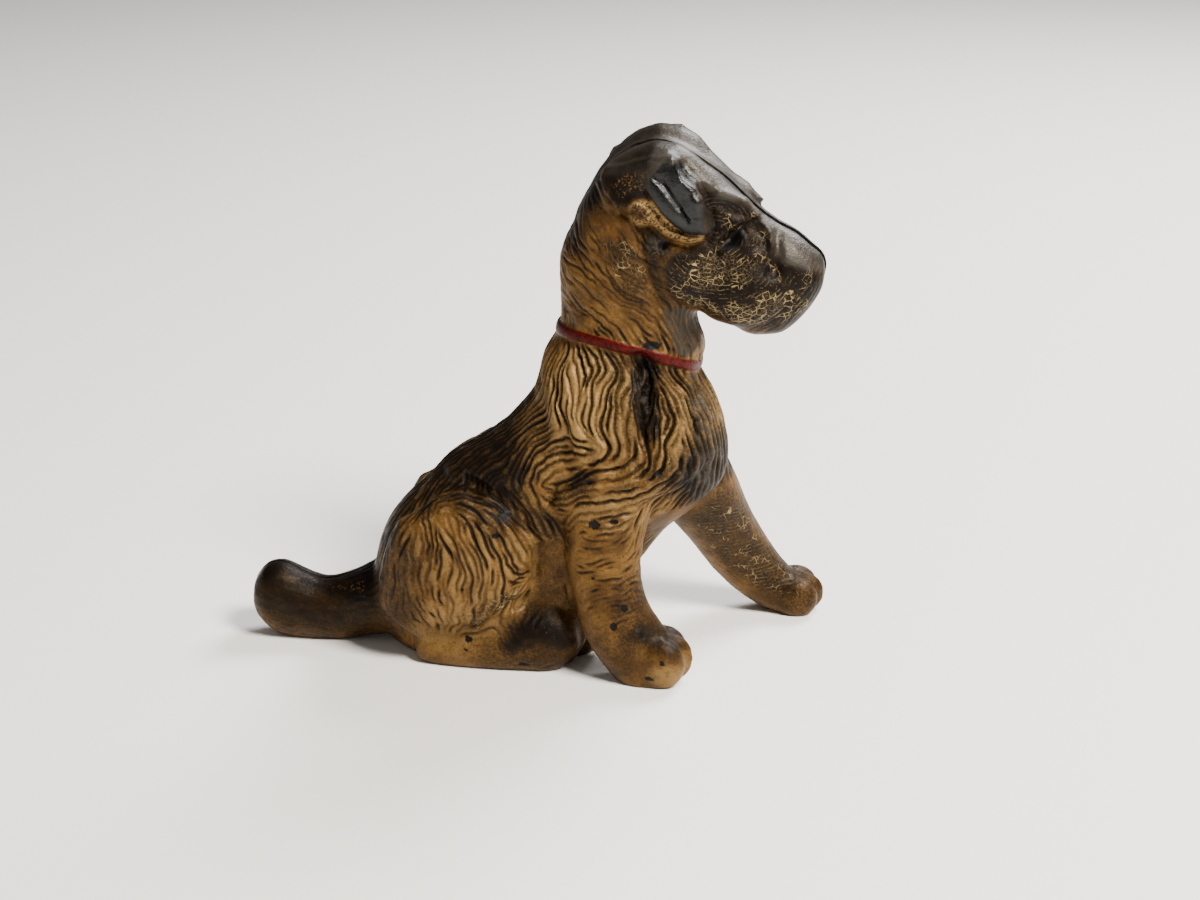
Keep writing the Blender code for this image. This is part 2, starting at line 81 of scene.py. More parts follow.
# Lines along which the fur lies.
LOCKS = (
    # Ruff
    ((7.5, 83.9), (7.4, 80.7), (6.4, 77.5), (5.3, 73.5), (4.3, 70.6), (4.2, 67.7), (5.3, 65.5)),
    ((8.5, 84.0), (7.9, 80.8), (8.1, 77.9), (9.1, 76.1), (10.8, 74.7), (12.2, 73.7)),
    ((10.2, 81.9), (10.5, 79.0), (11.9, 77.3), (14.3, 76.3), (15.6, 74.2)),
    ((6.7, 76.1), (7.0, 73.2), (8.4, 71.4), (10.5, 70.8)),
    ((6.0, 72.1), (6.7, 69.2), (7.3, 66.3), (8.7, 63.4), (9.1, 61.2)),
    ((14.3, 75.9), (14.3, 73.8), (12.9, 71.2), (11.9, 68.6), (12.2, 65.7), (12.9, 62.8)),
    ((16.0, 76.3), (17.4, 74.2), (16.0, 71.7), (14.3, 69.4), (13.7, 66.5), (14.3, 63.6), (15.3, 61.5)),
    ((17.7, 77.8), (19.1, 74.6), (18.7, 72.1), (17.0, 69.5), (16.3, 67.0), (17.0, 63.7), (16.3, 60.8)),
    ((18.4, 78.2), (19.8, 74.7), (20.1, 71.4), (18.1, 68.1), (17.7, 65.2), (18.8, 62.3), (18.4, 59.7)),
    ((20.8, 75.1), (21.1, 71.5), (20.1, 68.2), (19.8, 65.3), (20.8, 63.1), (20.8, 59.8)),
    ((23.9, 76.6), (24.6, 73.0), (23.6, 69.4), (22.2, 66.8), (22.9, 63.2), (24.0, 59.9)),
    ((27.6, 76.0), (28.3, 72.8), (30.1, 71.4)),
    ((30.0, 75.7), (31.1, 72.9), (32.5, 70.0), (34.2, 67.2)),
    ((32.1, 74.7), (33.5, 71.8), (34.9, 67.2), (36.0, 64.3), (36.0, 60.0)),
    ((30.8, 68.5), (32.5, 65.7), (32.6, 62.8), (31.2, 59.8)),
    ((32.5, 67.5), (33.9, 64.3), (33.6, 60.2), (31.9, 57.2)),
    ((28.4, 67.0), (28.1, 63.3), (29.1, 61.2), (28.5, 57.9), (29.5, 55.0)),
    ((9.0, 60.5), (10.8, 59.1), (12.9, 59.5), (15.6, 59.3), (17.4, 57.5), (16.3, 54.9), (14.2, 54.4)),
    ((17.7, 59.0), (19.1, 56.8), (17.7, 54.2), (14.9, 53.0), (12.9, 52.1)),
    ((24.0, 59.9), (24.0, 56.6), (22.6, 54.7), (19.8, 52.8), (16.3, 51.9)),
    ((25.7, 58.9), (25.7, 55.9), (24.3, 53.7), (21.2, 51.3), (17.7, 50.8)),
    ((27.1, 57.8), (26.8, 54.9), (24.7, 51.8), (21.9, 50.2), (18.4, 49.7)),
    ((12.8, 49.5), (15.6, 50.4), (19.8, 49.0), (24.0, 50.3), (26.8, 51.5), (28.5, 54.9)),
    ((10.7, 46.9), (14.2, 48.1), (18.4, 47.5), (23.3, 48.1), (27.5, 49.7), (31.0, 50.9)),
    ((10.0, 44.2), (14.2, 45.9), (19.1, 45.3), (24.7, 46.2), (28.9, 48.3), (33.0, 50.6)),
    ((8.6, 42.3), (12.8, 44.3), (17.7, 43.7), (23.3, 44.7), (26.8, 45.2)),
    # Flank
    ((-3.9, 50.1), (-3.5, 53.8), (-2.1, 56.1), (1.1, 59.2)),
    ((0.4, 53.2), (1.8, 55.9), (4.3, 57.8), (6.8, 59.4)),
    ((1.1, 52.5), (3.2, 54.4), (6.0, 55.3), (7.4, 54.6)),
    ((1.0, 47.6), (1.7, 50.3), (4.2, 53.0), (7.4, 53.4)),
    ((-6.3, 57.5), (-4.1, 60.5), (-0.9, 62.5), (1.9, 64.4)),
    ((-5.3, 55.6), (-2.8, 58.3), (0.1, 60.6), (2.6, 62.2)),
    ((1.7, 46.1), (4.2, 45.1), (6.7, 45.9)),
    # Haunch
    ((-26.1, 42.1), (-24.1, 36.5), (-22.0, 33.1), (-23.2, 28.4)),
    ((-19.2, 37.8), (-17.7, 33.3), (-16.2, 29.3), (-16.9, 24.1), (-18.6, 19.3)),
    ((-16.6, 37.3), (-15.1, 32.2), (-13.6, 27.7), (-14.2, 22.4)),
    ((-13.4, 36.9), (-11.9, 31.8), (-10.6, 27.2), (-9.9, 22.6), (-11.1, 18.5)),
    ((-9.7, 34.7), (-8.7, 30.2), (-6.6, 26.2), (-7.8, 21.5)),
    ((-6.5, 34.3), (-5.5, 29.7), (-3.4, 26.3), (-0.2, 25.3)),
    ((-3.3, 35.0), (-2.3, 29.8), (0.1, 27.6)),
    ((-9.6, 42.1), (-6.4, 39.4), (-2.8, 35.0), (-0.7, 31.1)),
    ((-20.2, 42.3), (-16.4, 43.6), (-12.8, 41.4), (-9.6, 39.3), (-6.5, 36.0)),
    ((-25.8, 31.8), (-25.4, 27.2), (-26.6, 22.5), (-27.3, 17.8)),
    ((-30.2, 29.3), (-30.4, 24.1), (-31.1, 18.8)),
    ((-22.8, 23.8), (-21.3, 19.8), (-20.3, 15.7), (-21.0, 12.2)),
    ((-27.2, 21.3), (-25.2, 16.7), (-22.6, 13.3)),
    ((-14.7, 24.1), (-13.2, 20.1), (-14.4, 16.0)),
    ((-6.6, 25.0), (-3.4, 23.4), (-0.2, 24.7)),
    # Back
    ((-25.9, 41.2), (-24.7, 44.7), (-21.9, 48.2), (-18.1, 50.7)),
    ((-31.6, 31.7), (-29.8, 37.6), (-26.9, 43.5), (-22.4, 49.4)),
    ((-16.6, 43.9), (-15.4, 48.5), (-11.6, 52.0), (-7.3, 54.4)),
    ((-4.1, 49.4), (-4.1, 54.5), (-0.8, 59.1), (1.9, 62.6)),
    ((-6.2, 55.6), (-2.9, 59.1), (0.3, 61.4)),
    ((-12.3, 43.4), (-12.8, 46.3), (-10.6, 48.6), (-6.2, 51.6)),
    ((-36.2, 24.5), (-34.9, 30.4), (-32.6, 35.2)),
    # Belly
    ((-2.5, 46.3), (-0.4, 43.0), (0.6, 39.0), (2.7, 35.1), (5.9, 31.8)),
    ((-1.4, 44.1), (0.6, 39.0), (2.7, 36.3), (5.4, 31.8)),
    ((-4.7, 41.7), (-2.6, 37.2), (-0.5, 35.0)),
    ((1.6, 29.3), (2.1, 23.5), (0.4, 18.8)),
    ((5.9, 28.3), (6.9, 22.5), (7.4, 16.7)),
    # Near foreleg
    ((8.7, 36.7), (11.9, 39.0), (16.6, 37.5), (21.9, 38.3), (23.9, 40.6)),
    ((7.7, 34.3), (10.8, 33.3), (14.0, 34.0), (19.3, 34.2), (23.4, 37.2)),
    ((10.3, 29.9), (14.0, 30.0), (18.2, 30.8), (22.4, 30.4)),
    ((10.8, 25.9), (14.5, 27.2), (19.3, 26.8), (24.0, 28.2)),
    ((11.8, 20.8), (16.1, 22.7), (20.3, 22.3), (25.1, 23.6)),
    ((17.2, 14.0), (20.9, 17.1), (25.7, 17.9)),
    # Chest
    ((22.3, 32.2), (26.5, 39.3), (30.2, 44.0), (33.9, 47.6)),
    ((25.5, 30.0), (29.2, 35.9), (32.4, 40.6)),
    # Hind foot
    ((-15.2, 4.6), (-10.8, 6.6), (-7.5, 2.5), (-4.3, 0.9)),
    ((1.2, 2.9), (4.5, 3.7), (6.7, 5.6)),
    # Neck
    ((7.6, 101.7), (10.8, 99.9), (14.9, 97.7), (18.1, 95.4), (19.4, 91.7), (23.6, 89.9), (28.2, 87.2),
     (30.9, 84.4)),
    ((8.0, 97.1), (11.7, 95.3), (15.3, 93.0), (19.0, 89.8), (23.6, 87.5), (27.3, 83.8), (30.1, 80.5)),
    ((7.5, 91.4), (11.2, 90.0), (14.9, 88.2), (18.1, 85.9), (21.8, 82.2), (25.5, 79.0)),
    ((7.3, 86.6), (10.7, 86.2), (13.9, 84.9), (16.7, 82.1), (19.0, 79.3)),
    ((11.2, 106.0), (14.4, 103.8), (17.6, 99.6), (19.0, 96.4), (22.6, 94.6), (26.7, 93.8)),
    ((14.9, 107.5), (16.7, 103.8), (19.0, 99.7), (22.6, 97.9), (26.7, 97.5)),
    ((18.9, 110.4), (20.8, 106.7), (22.6, 103.0), (25.3, 100.3)),
    ((27.2, 91.9), (29.0, 89.6), (31.8, 85.9), (34.6, 81.6)),
    ((31.8, 87.3), (33.7, 84.0), (34.2, 79.7)),
    ((34.5, 89.3), (36.0, 85.0), (36.5, 79.3)),
    ((10.4, 116.6), (13.5, 112.1), (17.1, 110.3)),
    ((9.9, 110.2), (13.0, 106.5), (13.5, 102.8)),
    # Face
    ((31.1, 100.9), (34.3, 98.1), (37.9, 97.7), (41.5, 99.7), (43.3, 102.1)),
    ((30.7, 97.1), (35.2, 95.3), (39.8, 95.4), (43.4, 97.4), (45.6, 101.2)),
    ((31.6, 92.9), (37.1, 92.1), (42.1, 93.1), (45.7, 95.6), (47.9, 99.4)),
    ((37.1, 90.2), (42.2, 89.8), (47.1, 91.9), (50.2, 95.7), (51.5, 100.4)),
    ((53.2, 101.4), (54.3, 96.8), (53.5, 92.0), (51.3, 88.2)),
    ((56.8, 102.4), (58.8, 96.9), (58.5, 92.2), (55.9, 88.3)),
    ((60.4, 101.6), (62.8, 97.0), (62.1, 92.3), (59.0, 88.4)),
    ((40.5, 106.2), (44.1, 108.6), (47.7, 106.8), (50.5, 103.2)),
    # Tail
    ((-67.5, 10.7), (-58.2, 9.0), (-48.4, 8.4), (-39.8, 10.6)),
    ((-65.2, 17.4), (-57.9, 16.9), (-49.4, 14.1), (-40.3, 17.1)),
    ((-60.9, 4.4), (-51.1, 3.5), (-41.2, 5.2)),
    # Far foreleg
    ((34.7, 36.4), (42.3, 20.8), (52.5, 7.8), (62.5, 4.1)),
    ((41.9, 39.3), (48.4, 23.7), (56.1, 12.0)),
    # Bib
    ((37.7, 71.4), (41.1, 62.3), (43.1, 52.5), (44.6, 45.1)),
    ((34.5, 71.3), (36.9, 62.2), (38.0, 52.4), (38.6, 44.9)),
    # Throat
    ((35.2, 89.1), (34.9, 82.0), (36.8, 76.1)),
    ((32.5, 89.1), (32.2, 82.0), (34.1, 76.1)),
)

# Zones of colour.
CROWN = (
    (15.0, 118.6), (18.8, 122.5), (23.8, 127.8), (29.9, 130.1), (37.0, 125.1), (44.9, 117.5), (50.5, 112.0),
    (57.3, 106.9), (65.5, 99.3), (65.6, 96.3), (62.5, 96.9), (58.6, 98.2), (55.3, 99.1), (54.1, 101.8),
    (52.4, 105.9), (49.4, 111.3), (46.5, 113.5), (42.1, 113.8), (37.2, 117.8), (30.9, 121.7), (26.1, 120.4),
    (20.5, 117.8))
EAR = (
    (26.4, 119.2), (28.4, 122.7), (31.1, 123.5), (33.1, 123.0), (35.8, 119.4), (37.3, 115.4), (38.6, 111.3),
    (38.7, 106.7), (36.2, 106.4), (33.5, 107.3), (31.2, 109.3), (29.0, 111.8), (27.1, 115.2))
EAR_BACK = (
    (16.6, 118.1), (20.0, 121.4), (25.3, 123.3), (28.4, 122.9), (27.3, 118.4), (26.7, 114.9), (23.6, 114.4),
    (20.9, 112.5), (17.7, 113.4))
EAR_LIP = (
    (21.8, 112.8), (24.5, 114.7), (27.2, 113.8), (29.4, 111.8), (32.6, 108.4), (35.8, 106.4), (38.4, 106.3),
    (38.5, 104.3), (35.3, 104.3), (31.7, 105.1), (29.0, 106.7), (27.2, 108.5), (24.5, 107.3), (22.3, 108.6))
GREY_CHEEK = (
    (24.2, 107.1), (27.8, 107.7), (32.2, 105.1), (32.3, 101.4), (29.2, 99.5), (29.7, 93.0), (32.0, 89.4),
    (29.8, 87.9), (27.0, 91.6), (26.1, 98.0), (24.3, 102.1))
FACE = (
    (31.3, 101.8), (35.3, 102.8), (38.8, 104.7), (38.7, 109.9), (36.9, 115.1), (37.3, 117.8), (40.4, 115.6),
    (42.6, 114.5), (46.6, 113.9), (50.6, 110.9), (53.4, 106.0), (54.8, 101.0), (58.9, 99.2), (64.2, 97.5),
    (65.2, 94.3), (62.7, 90.1), (57.1, 84.8), (50.6, 82.8), (45.6, 84.5), (40.4, 87.2), (35.5, 88.9),
    (30.5, 92.5), (29.5, 97.6))
JAW = (
    (30.4, 95.0), (37.6, 92.4), (44.4, 89.8), (53.4, 86.3), (58.0, 84.6), (50.6, 82.5), (45.6, 84.2),
    (40.4, 86.4), (35.4, 87.7), (31.3, 89.9))
NECK_DARK = (
    (15.5, 104.4), (20.3, 105.5), (24.4, 102.4), (26.6, 97.9), (27.1, 91.9), (23.5, 90.9), (19.9, 93.1),
    (16.8, 98.1))
NAPE_DARK = (
    (6.5, 101.8), (7.9, 107.4), (10.2, 109.0), (11.5, 105.1), (10.6, 101.0), (8.3, 99.5))
THROAT = (
    (29.4, 89.3), (35.3, 88.0), (37.6, 85.3), (38.2, 77.7), (35.5, 75.7), (32.3, 76.1), (30.4, 82.2),
    (28.5, 86.4))
# Painted shade in the carved hollow of the ruff.
RECESS_SHADE = (
    (23.1, 77.0), (27.1, 78.5), (29.4, 73.9), (29.5, 66.8), (30.4, 60.6), (27.3, 58.1), (24.1, 59.4),
    (22.7, 66.6), (21.8, 72.5))
BIB = (
    (33.8, 72.8), (38.6, 72.9), (42.4, 64.8), (44.7, 55.1), (47.0, 45.2), (39.5, 42.4), (35.7, 47.3),
    (35.5, 59.7))
SHADOW = (
    (3.8, 45.2), (5.7, 49.2), (11.2, 51.8), (15.8, 51.0), (14.9, 48.0), (11.2, 46.9), (7.5, 43.3),
    (4.3, 42.2))
BACK = (
    (-37.7, 23.3), (-39.5, 28.4), (-32.3, 41.4), (-24.9, 49.7), (-13.0, 57.5), (-3.5, 64.7), (1.1, 68.7),
    (2.9, 62.5), (7.1, 55.2), (0.9, 47.6), (-1.5, 40.0), (-6.3, 34.8), (-13.3, 39.6), (-19.2, 41.4),
    (-25.2, 40.6), (-29.6, 35.9), (-32.8, 27.4))
TUFT = (
    (-7.1, 62.5), (-0.2, 67.5), (6.6, 60.5), (11.1, 53.4), (8.8, 46.0), (4.2, 42.3), (0.7, 45.7),
    (-3.8, 52.9))
HAUNCH_TOP = (
    (-28.1, 39.4), (-23.2, 45.0), (-17.2, 46.2), (-9.3, 44.0), (-2.9, 40.5), (-2.0, 36.9), (-7.1, 39.1),
    (-14.0, 41.9), (-21.0, 42.1), (-25.8, 37.9))
# Painted shade under the belly, between the haunch and the foreleg.
BELLY_SHADE = (
    (-3.8, 43.4), (3.1, 43.7), (6.6, 38.9), (7.9, 32.7), (3.0, 30.0), (-0.5, 32.3), (-2.7, 37.3))
SIDE = (
    (0.1, 32.0), (5.5, 33.4), (7.8, 28.5), (8.2, 18.3), (9.8, 12.0), (6.3, 12.6), (1.6, 15.0), (-1.7, 15.4),
    (-0.7, 23.1))
FOOT_TOP = (
    (-8.6, 6.8), (-5.2, 12.7), (-0.9, 16.0), (5.3, 15.7), (9.0, 11.7), (10.4, 7.7), (8.0, 5.5), (1.4, 7.3),
    (-4.6, 4.4))
CRACKLE_THIGH = (
    (-16.4, 10.9), (-14.4, 16.1), (-7.3, 21.0), (-2.6, 21.7), (-3.5, 18.1), (-9.7, 14.8), (-12.6, 10.0))
PAW_TOP = (
    (20.3, 13.5), (25.4, 18.3), (30.1, 15.4), (35.2, 12.6), (37.1, 8.6), (32.5, 8.4), (25.5, 10.6),
    (21.3, 10.5))
TAIL_TOP = (
    (-69.5, 16.0), (-67.8, 19.2), (-60.8, 21.3), (-56.0, 17.8), (-48.7, 17.3), (-39.7, 21.6), (-38.1, 10.6),
    (-46.5, 10.8), (-56.3, 12.0), (-62.3, 16.0), (-66.6, 13.7))
FARLEG = (
    (34.7, 31.1), (41.9, 39.3), (48.2, 34.3), (51.3, 25.1), (54.2, 19.1), (59.7, 14.5), (64.8, 9.6),
    (62.4, 5.5), (55.0, 5.2), (47.5, 10.3), (40.4, 18.1))
OCCIPUT = (
    (9.2, 108.2), (11.4, 114.0), (14.8, 118.6), (18.6, 122.5), (23.7, 127.8), (28.5, 129.2), (29.9, 125.7),
    (26.4, 121.1), (23.7, 117.5), (17.0, 115.0), (13.9, 110.4))
RUFF_DARK = (
    (16.4, 76.8), (24.9, 78.0), (38.3, 76.0), (38.9, 67.1), (38.6, 57.5), (36.4, 52.6), (27.3, 52.3),
    (20.5, 56.9), (17.3, 64.0))
EAR_FLAP = (
    (14.7, 116.4), (16.9, 120.0), (24.3, 123.3), (31.3, 123.5), (35.7, 116.9), (38.2, 111.6), (39.0, 105.3),
    (35.5, 103.8), (29.7, 105.5), (24.4, 110.4), (16.9, 112.0))
# The eye is painted black across its whole socket: partly the painted eye, partly painted shade in the
# socket.
EYE = (
    (42.1, 102.6), (43.6, 104.7), (45.8, 106.6), (47.8, 106.6), (47.2, 104.3), (45.9, 102.7), (43.7, 101.9))

# Modelled lines: path, half width, height (down is negative), and how far from the joint plane they start.
FEATURES = (
    (((27.1, 123.3), (30.0, 123.5), (31.5, 121.6), (33.4, 118.5), (35.6, 116.3), (36.6, 113.8),
      (37.8, 110.6), (38.1, 107.2)), 1.5, 1.5, 8.5),
    (((34.7, 121.7), (36.7, 118.1), (38.3, 115.0), (39.9, 111.4), (40.2, 106.8)), 1.1, -0.9, 7.5),
    (((28.9, 120.7), (31.2, 117.1), (33.4, 113.9), (35.7, 111.3), (37.1, 109.5)), 1.2, 0.15, 8.5),
    (((30.6, 121.6), (32.7, 117.9), (34.9, 114.8), (36.6, 111.6)), 0.45, -0.35, 8.5),
    (((27.9, 119.4), (30.2, 116.3), (32.4, 113.2), (35.4, 110.4)), 0.45, -0.4, 8.5),
    (((27.1, 118.4), (29.4, 115.7), (31.6, 112.5), (34.4, 109.9), (37.1, 107.6)), 1.2, 0.35, 8.5),
    (((26.0, 116.1), (29.0, 112.2), (31.7, 109.5), (34.6, 107.3)), 0.5, -0.8, 8.5),
    (((22.7, 113.5), (25.4, 113.1), (28.1, 111.1), (31.2, 108.3), (34.4, 106.1),
      (38.0, 104.9)), 0.8, 0.8, 8.5),
    (((20.4, 110.7), (23.5, 109.0), (27.0, 107.3), (30.6, 104.6), (35.5, 103.2),
      (39.4, 104.4)), 1.0, -1.1, 7.0),
    (((18.2, 112.5), (16.4, 114.7), (15.5, 117.3)), 0.9, -0.5, 6.5),
    (((41.1, 101.5), (43.5, 104.3), (45.8, 106.5), (48.5, 107.0)), 1.1, -1.0, 4.5),
    (((41.0, 104.3), (43.6, 106.9), (46.2, 108.7), (48.9, 109.5)), 1.0, 0.6, 4.5),
    (((41.2, 115.1), (44.3, 113.6), (47.2, 111.9), (48.8, 110.3), (50.6, 108.1), (52.5, 105.0),
      (53.2, 101.8)), 0.8, 0.8, 4.0),
    (((41.5, 113.0), (45.0, 110.8), (47.6, 108.9), (49.0, 106.4), (50.2, 103.0)), 1.3, -0.7, 4.5),
    (((54.6, 104.6), (54.9, 101.0), (54.4, 97.0)), 1.2, -0.6, 3.0),
    (((24.0, 107.5), (25.0, 101.0), (26.8, 94.0), (29.2, 89.6), (32.4, 85.6),
      (36.0, 80.6)), 0.6, -0.5, 5.0),
    (((-28.1, 39.4), (-23.2, 44.6), (-17.2, 46.4), (-9.3, 44.2), (-2.9, 39.8), (0.8, 33.0),
      (0.6, 24.0)), 0.8, -0.5, 9.0),
    (((3.8, 43.0), (5.7, 48.4), (11.2, 51.4), (16.5, 49.8), (23.5, 54.0)), 1.0, -0.7, 9.0),
    (((0.2, 26.0), (-0.2, 20.6), (-2.6, 17.0), (-8.0, 13.8), (-14.0, 10.6)), 0.7, -0.4, 9.0),
    (((7.6, 21.6), (8.1, 17.4)), 0.25, -0.3, 9.0),
    (((24.5, 77.0), (26.2, 71.0), (26.6, 65.0), (26.0, 60.0)), 1.8, -1.1, 8.0),
    (((48.9, 109.8), (51.2, 108.0), (52.7, 105.5), (53.5, 102.7)), 0.55, 0.55, 4.0),
    (((36.7, 118.1), (39.4, 117.0), (43.0, 114.8), (46.6, 112.6)), 1.1, 0.5, 5.0),
    (((31.1, 101.1), (35.7, 100.8), (39.3, 102.3), (41.9, 104.2)), 0.9, -0.3, 5.0),
)

# Round marks: centre, radius, height, and how far from the joint plane they start.
MARKS = (
    ((23.8, 111.2), 2.3, 0.9, 9.0), ((23.8, 111.2), 1.0, -0.5, 9.0), ((29.3, 103.5), 1.0, -0.9, 7.0),
    ((44.8, 104.4), 1.3, -0.8, 5.0), ((32.2, 122.6), 1.2, 0.7, 8.0), ((36.6, 114.6), 1.1, 0.7, 8.0),
    ((38.2, 109.6), 1.1, 0.6, 8.0), ((15.2, 40.1), 1.3, -0.35, 12.0), ((19.4, 40.6), 0.8, -0.3, 12.0),
    ((26.6, 80.2), 1.6, -0.3, 8.0),
)

# Chips down to the iron, on the right side: centre and radii.
CHIPS = (
    ((15.0, 40.0), (1.5, 1.2)), ((19.4, 40.8), (1.2, 0.7)), ((27.0, 80.0), (2.3, 1.1)),
    ((14.8, 27.0), (0.5, 0.4)), ((19.6, 15.6), (0.9, 1.1)), ((22.0, 20.0), (0.8, 1.0)),
    ((-6.5, 39.6), (1.5, 1.1)), ((-8.2, 35.2), (0.9, 0.6)), ((-16.0, 22.0), (0.5, 0.5)),
    ((-15.4, 7.6), (1.0, 0.7)), ((-15.8, 5.2), (0.6, 0.5)), ((29.6, 52.0), (0.8, 0.9)),
    ((28.0, 3.0), (1.3, 0.8)), ((31.0, 7.4), (0.7, 0.7)), ((-2.0, 2.4), (1.6, 0.5)),
    ((26.0, 13.4), (0.7, 0.9)), ((-58.0, 2.0), (1.0, 0.5)), ((-50.0, 0.6), (0.8, 0.4)),
    ((-64.0, 3.0), (0.6, 0.4)), ((35.6, 47.6), (1.0, 1.4)),
)
# The hole of the ear: centre and radii.
EAR_HOLE = ((29.3, 103.5), (1.1, 1.0))

# Collar: its ends at the back and the front of the neck, half the neck's width, and its climb at the sides.
COLLAR_BACK = (5.0, 80.9)
COLLAR_FRONT = (37.2, 72.8)
COLLAR_HALF_WIDTH = 12.7
COLLAR_CLIMB = 2.4

# Where fur is cut: centre, radii, groove spacing, depth and length of the grooves.
FUR_AREAS = (
    ((19.0, 63.0), (26.0, 17.5), 1.5, 0.75, 30.0), ((22.0, 46.0), (18.0, 7.5), 1.35, 0.55, 22.0),
    ((-14.0, 28.0), (20.0, 20.5), 1.3, 0.48, 14.0), ((-16.0, 47.0), (22.0, 10.0), 1.5, 0.34, 10.0),
    ((2.0, 53.5), (12.0, 11.0), 1.35, 0.5, 16.0), ((2.0, 38.0), (8.0, 9.0), 1.3, 0.36, 6.0),
    ((17.0, 93.0), (14.0, 16.0), 1.1, 0.3, 22.0), ((33.0, 82.0), (5.0, 9.0), 1.05, 0.4, 14.0),
    ((19.0, 30.0), (8.5, 15.0), 1.15, 0.32, 5.0), ((42.0, 58.0), (8.0, 18.0), 2.1, 0.5, 6.0),
    ((-34.0, 18.0), (9.0, 18.0), 1.6, 0.2, 7.0), ((-55.0, 9.0), (17.0, 10.0), 1.9, 0.09, 8.0),
    ((48.0, 95.0), (17.0, 13.0), 1.25, 0.1, 12.0), ((48.0, 26.0), (12.0, 20.0), 1.5, 0.08, 4.0),
    ((-3.0, 8.0), (13.0, 7.0), 1.7, 0.14, 4.0), ((14.0, 111.0), (9.0, 7.0), 1.4, 0.16, 6.0),
)

# Combing: the step along a groove, the shortest groove, how far one is felt, and the least fur it needs.
STEP = 0.45
SHORTEST = 3.4
REACH = 2.0
LEAST_FUR = 0.3
SEED = 7
# The wave of the fur: its length and its turn in radians. Lines further off than the spread count little.
WAVE_LENGTH = 8.5
WAVE_TURN = 0.3
LINE_SPREAD = 3.0

# The mesh: size of its faces, rounds of smoothing, and the share of the faces that is kept.
VOXEL = 0.4
SMOOTHING = 22
FACES_KEPT = 0.76
# The joint: how far the castings overlap before they are fused, and the gap that is cut at each side.
JOINT_OVERLAP = 0.35
JOINT_GAP = 0.03
# The crown, where the right half lies lower: centre and radii.
CROWN_TOP = ((30.0, 126.0), (13.0, 6.5))

# Where each paint lies: its zone, how soft the zone's edge is, how much of it, and on what part of the dog:
# all of it, only off its middle, or only its left side.
ZONE_PAINT = {
    "dark": (
        # The dark paint is partly the brown sprayed over the castings and partly painted shade: in the
        # ruff's recess, under the ruff, the belly and the chin, along the crease above the haunch, and low
        # on the dog, on its side, its feet and its far leg.
        (FACE, 2.6, 1.0, "all"), (CROWN, 2.6, 1.0, "all"), (BACK, 5.5, 0.88, "all"),
        (EAR_BACK, 2.4, 1.1, "outer"), (RECESS_SHADE, 2.6, 1.0, "outer"), (SHADOW, 2.0, 0.9, "outer"),
        (HAUNCH_TOP, 2.4, 0.85, "outer"), (FOOT_TOP, 4.5, 1.0, "outer"), (TAIL_TOP, 4.0, 1.1, "all"),
        (NECK_DARK, 3.0, 0.6, "outer"), (NAPE_DARK, 2.4, 0.55, "all"), (BELLY_SHADE, 2.8, 0.6, "outer"),
        (SIDE, 3.0, 0.35, "outer"), (BIB, 2.5, 0.62, "all"), (OCCIPUT, 3.0, 0.95, "all"),
        (RUFF_DARK, 3.5, 0.42, "outer"), (CRACKLE_THIGH, 1.6, 0.6, "outer"), (PAW_TOP, 3.0, 0.75, "all"),
        (FARLEG, 3.0, 0.62, "left"), (THROAT, 1.8, 0.5, "outer"), (GREY_CHEEK, 2.6, 0.75, "outer"),
        (JAW, 2.6, 0.55, "all")),
    "taupe": ((CROWN, 2.0, 1.0, "all"),),
    "black": ((EAR, 1.0, 1.0, "outer"),),
    "orange": ((JAW, 2.6, 0.8, "all"), (SIDE, 3.0, 0.3, "outer")),
    "cream": ((EAR_LIP, 0.8, 1.0, "outer"),),
    "lip": ((EAR_LIP, 0.8, 0.35, "outer"),),
    "grey": (
        (BIB, 2.5, 0.65, "all"), (GREY_CHEEK, 2.4, 0.65, "outer"), (THROAT, 1.6, 0.8, "all"),
        (PAW_TOP, 1.8, 0.5, "all"), (FARLEG, 2.5, 0.3, "left")),
    "crackle": (
        (GREY_CHEEK, 2.0, 0.5, "outer"), (FACE, 1.8, 0.6, "all"), (JAW, 2.2, 1.0, "all"),
        (EAR_LIP, 0.8, 0.6, "outer"), (FARLEG, 2.5, 0.7, "left"), (NECK_DARK, 1.2, 0.65, "outer"),
        (CRACKLE_THIGH, 0.9, 1.0, "outer"), (BIB, 2.0, 0.35, "all")),
}
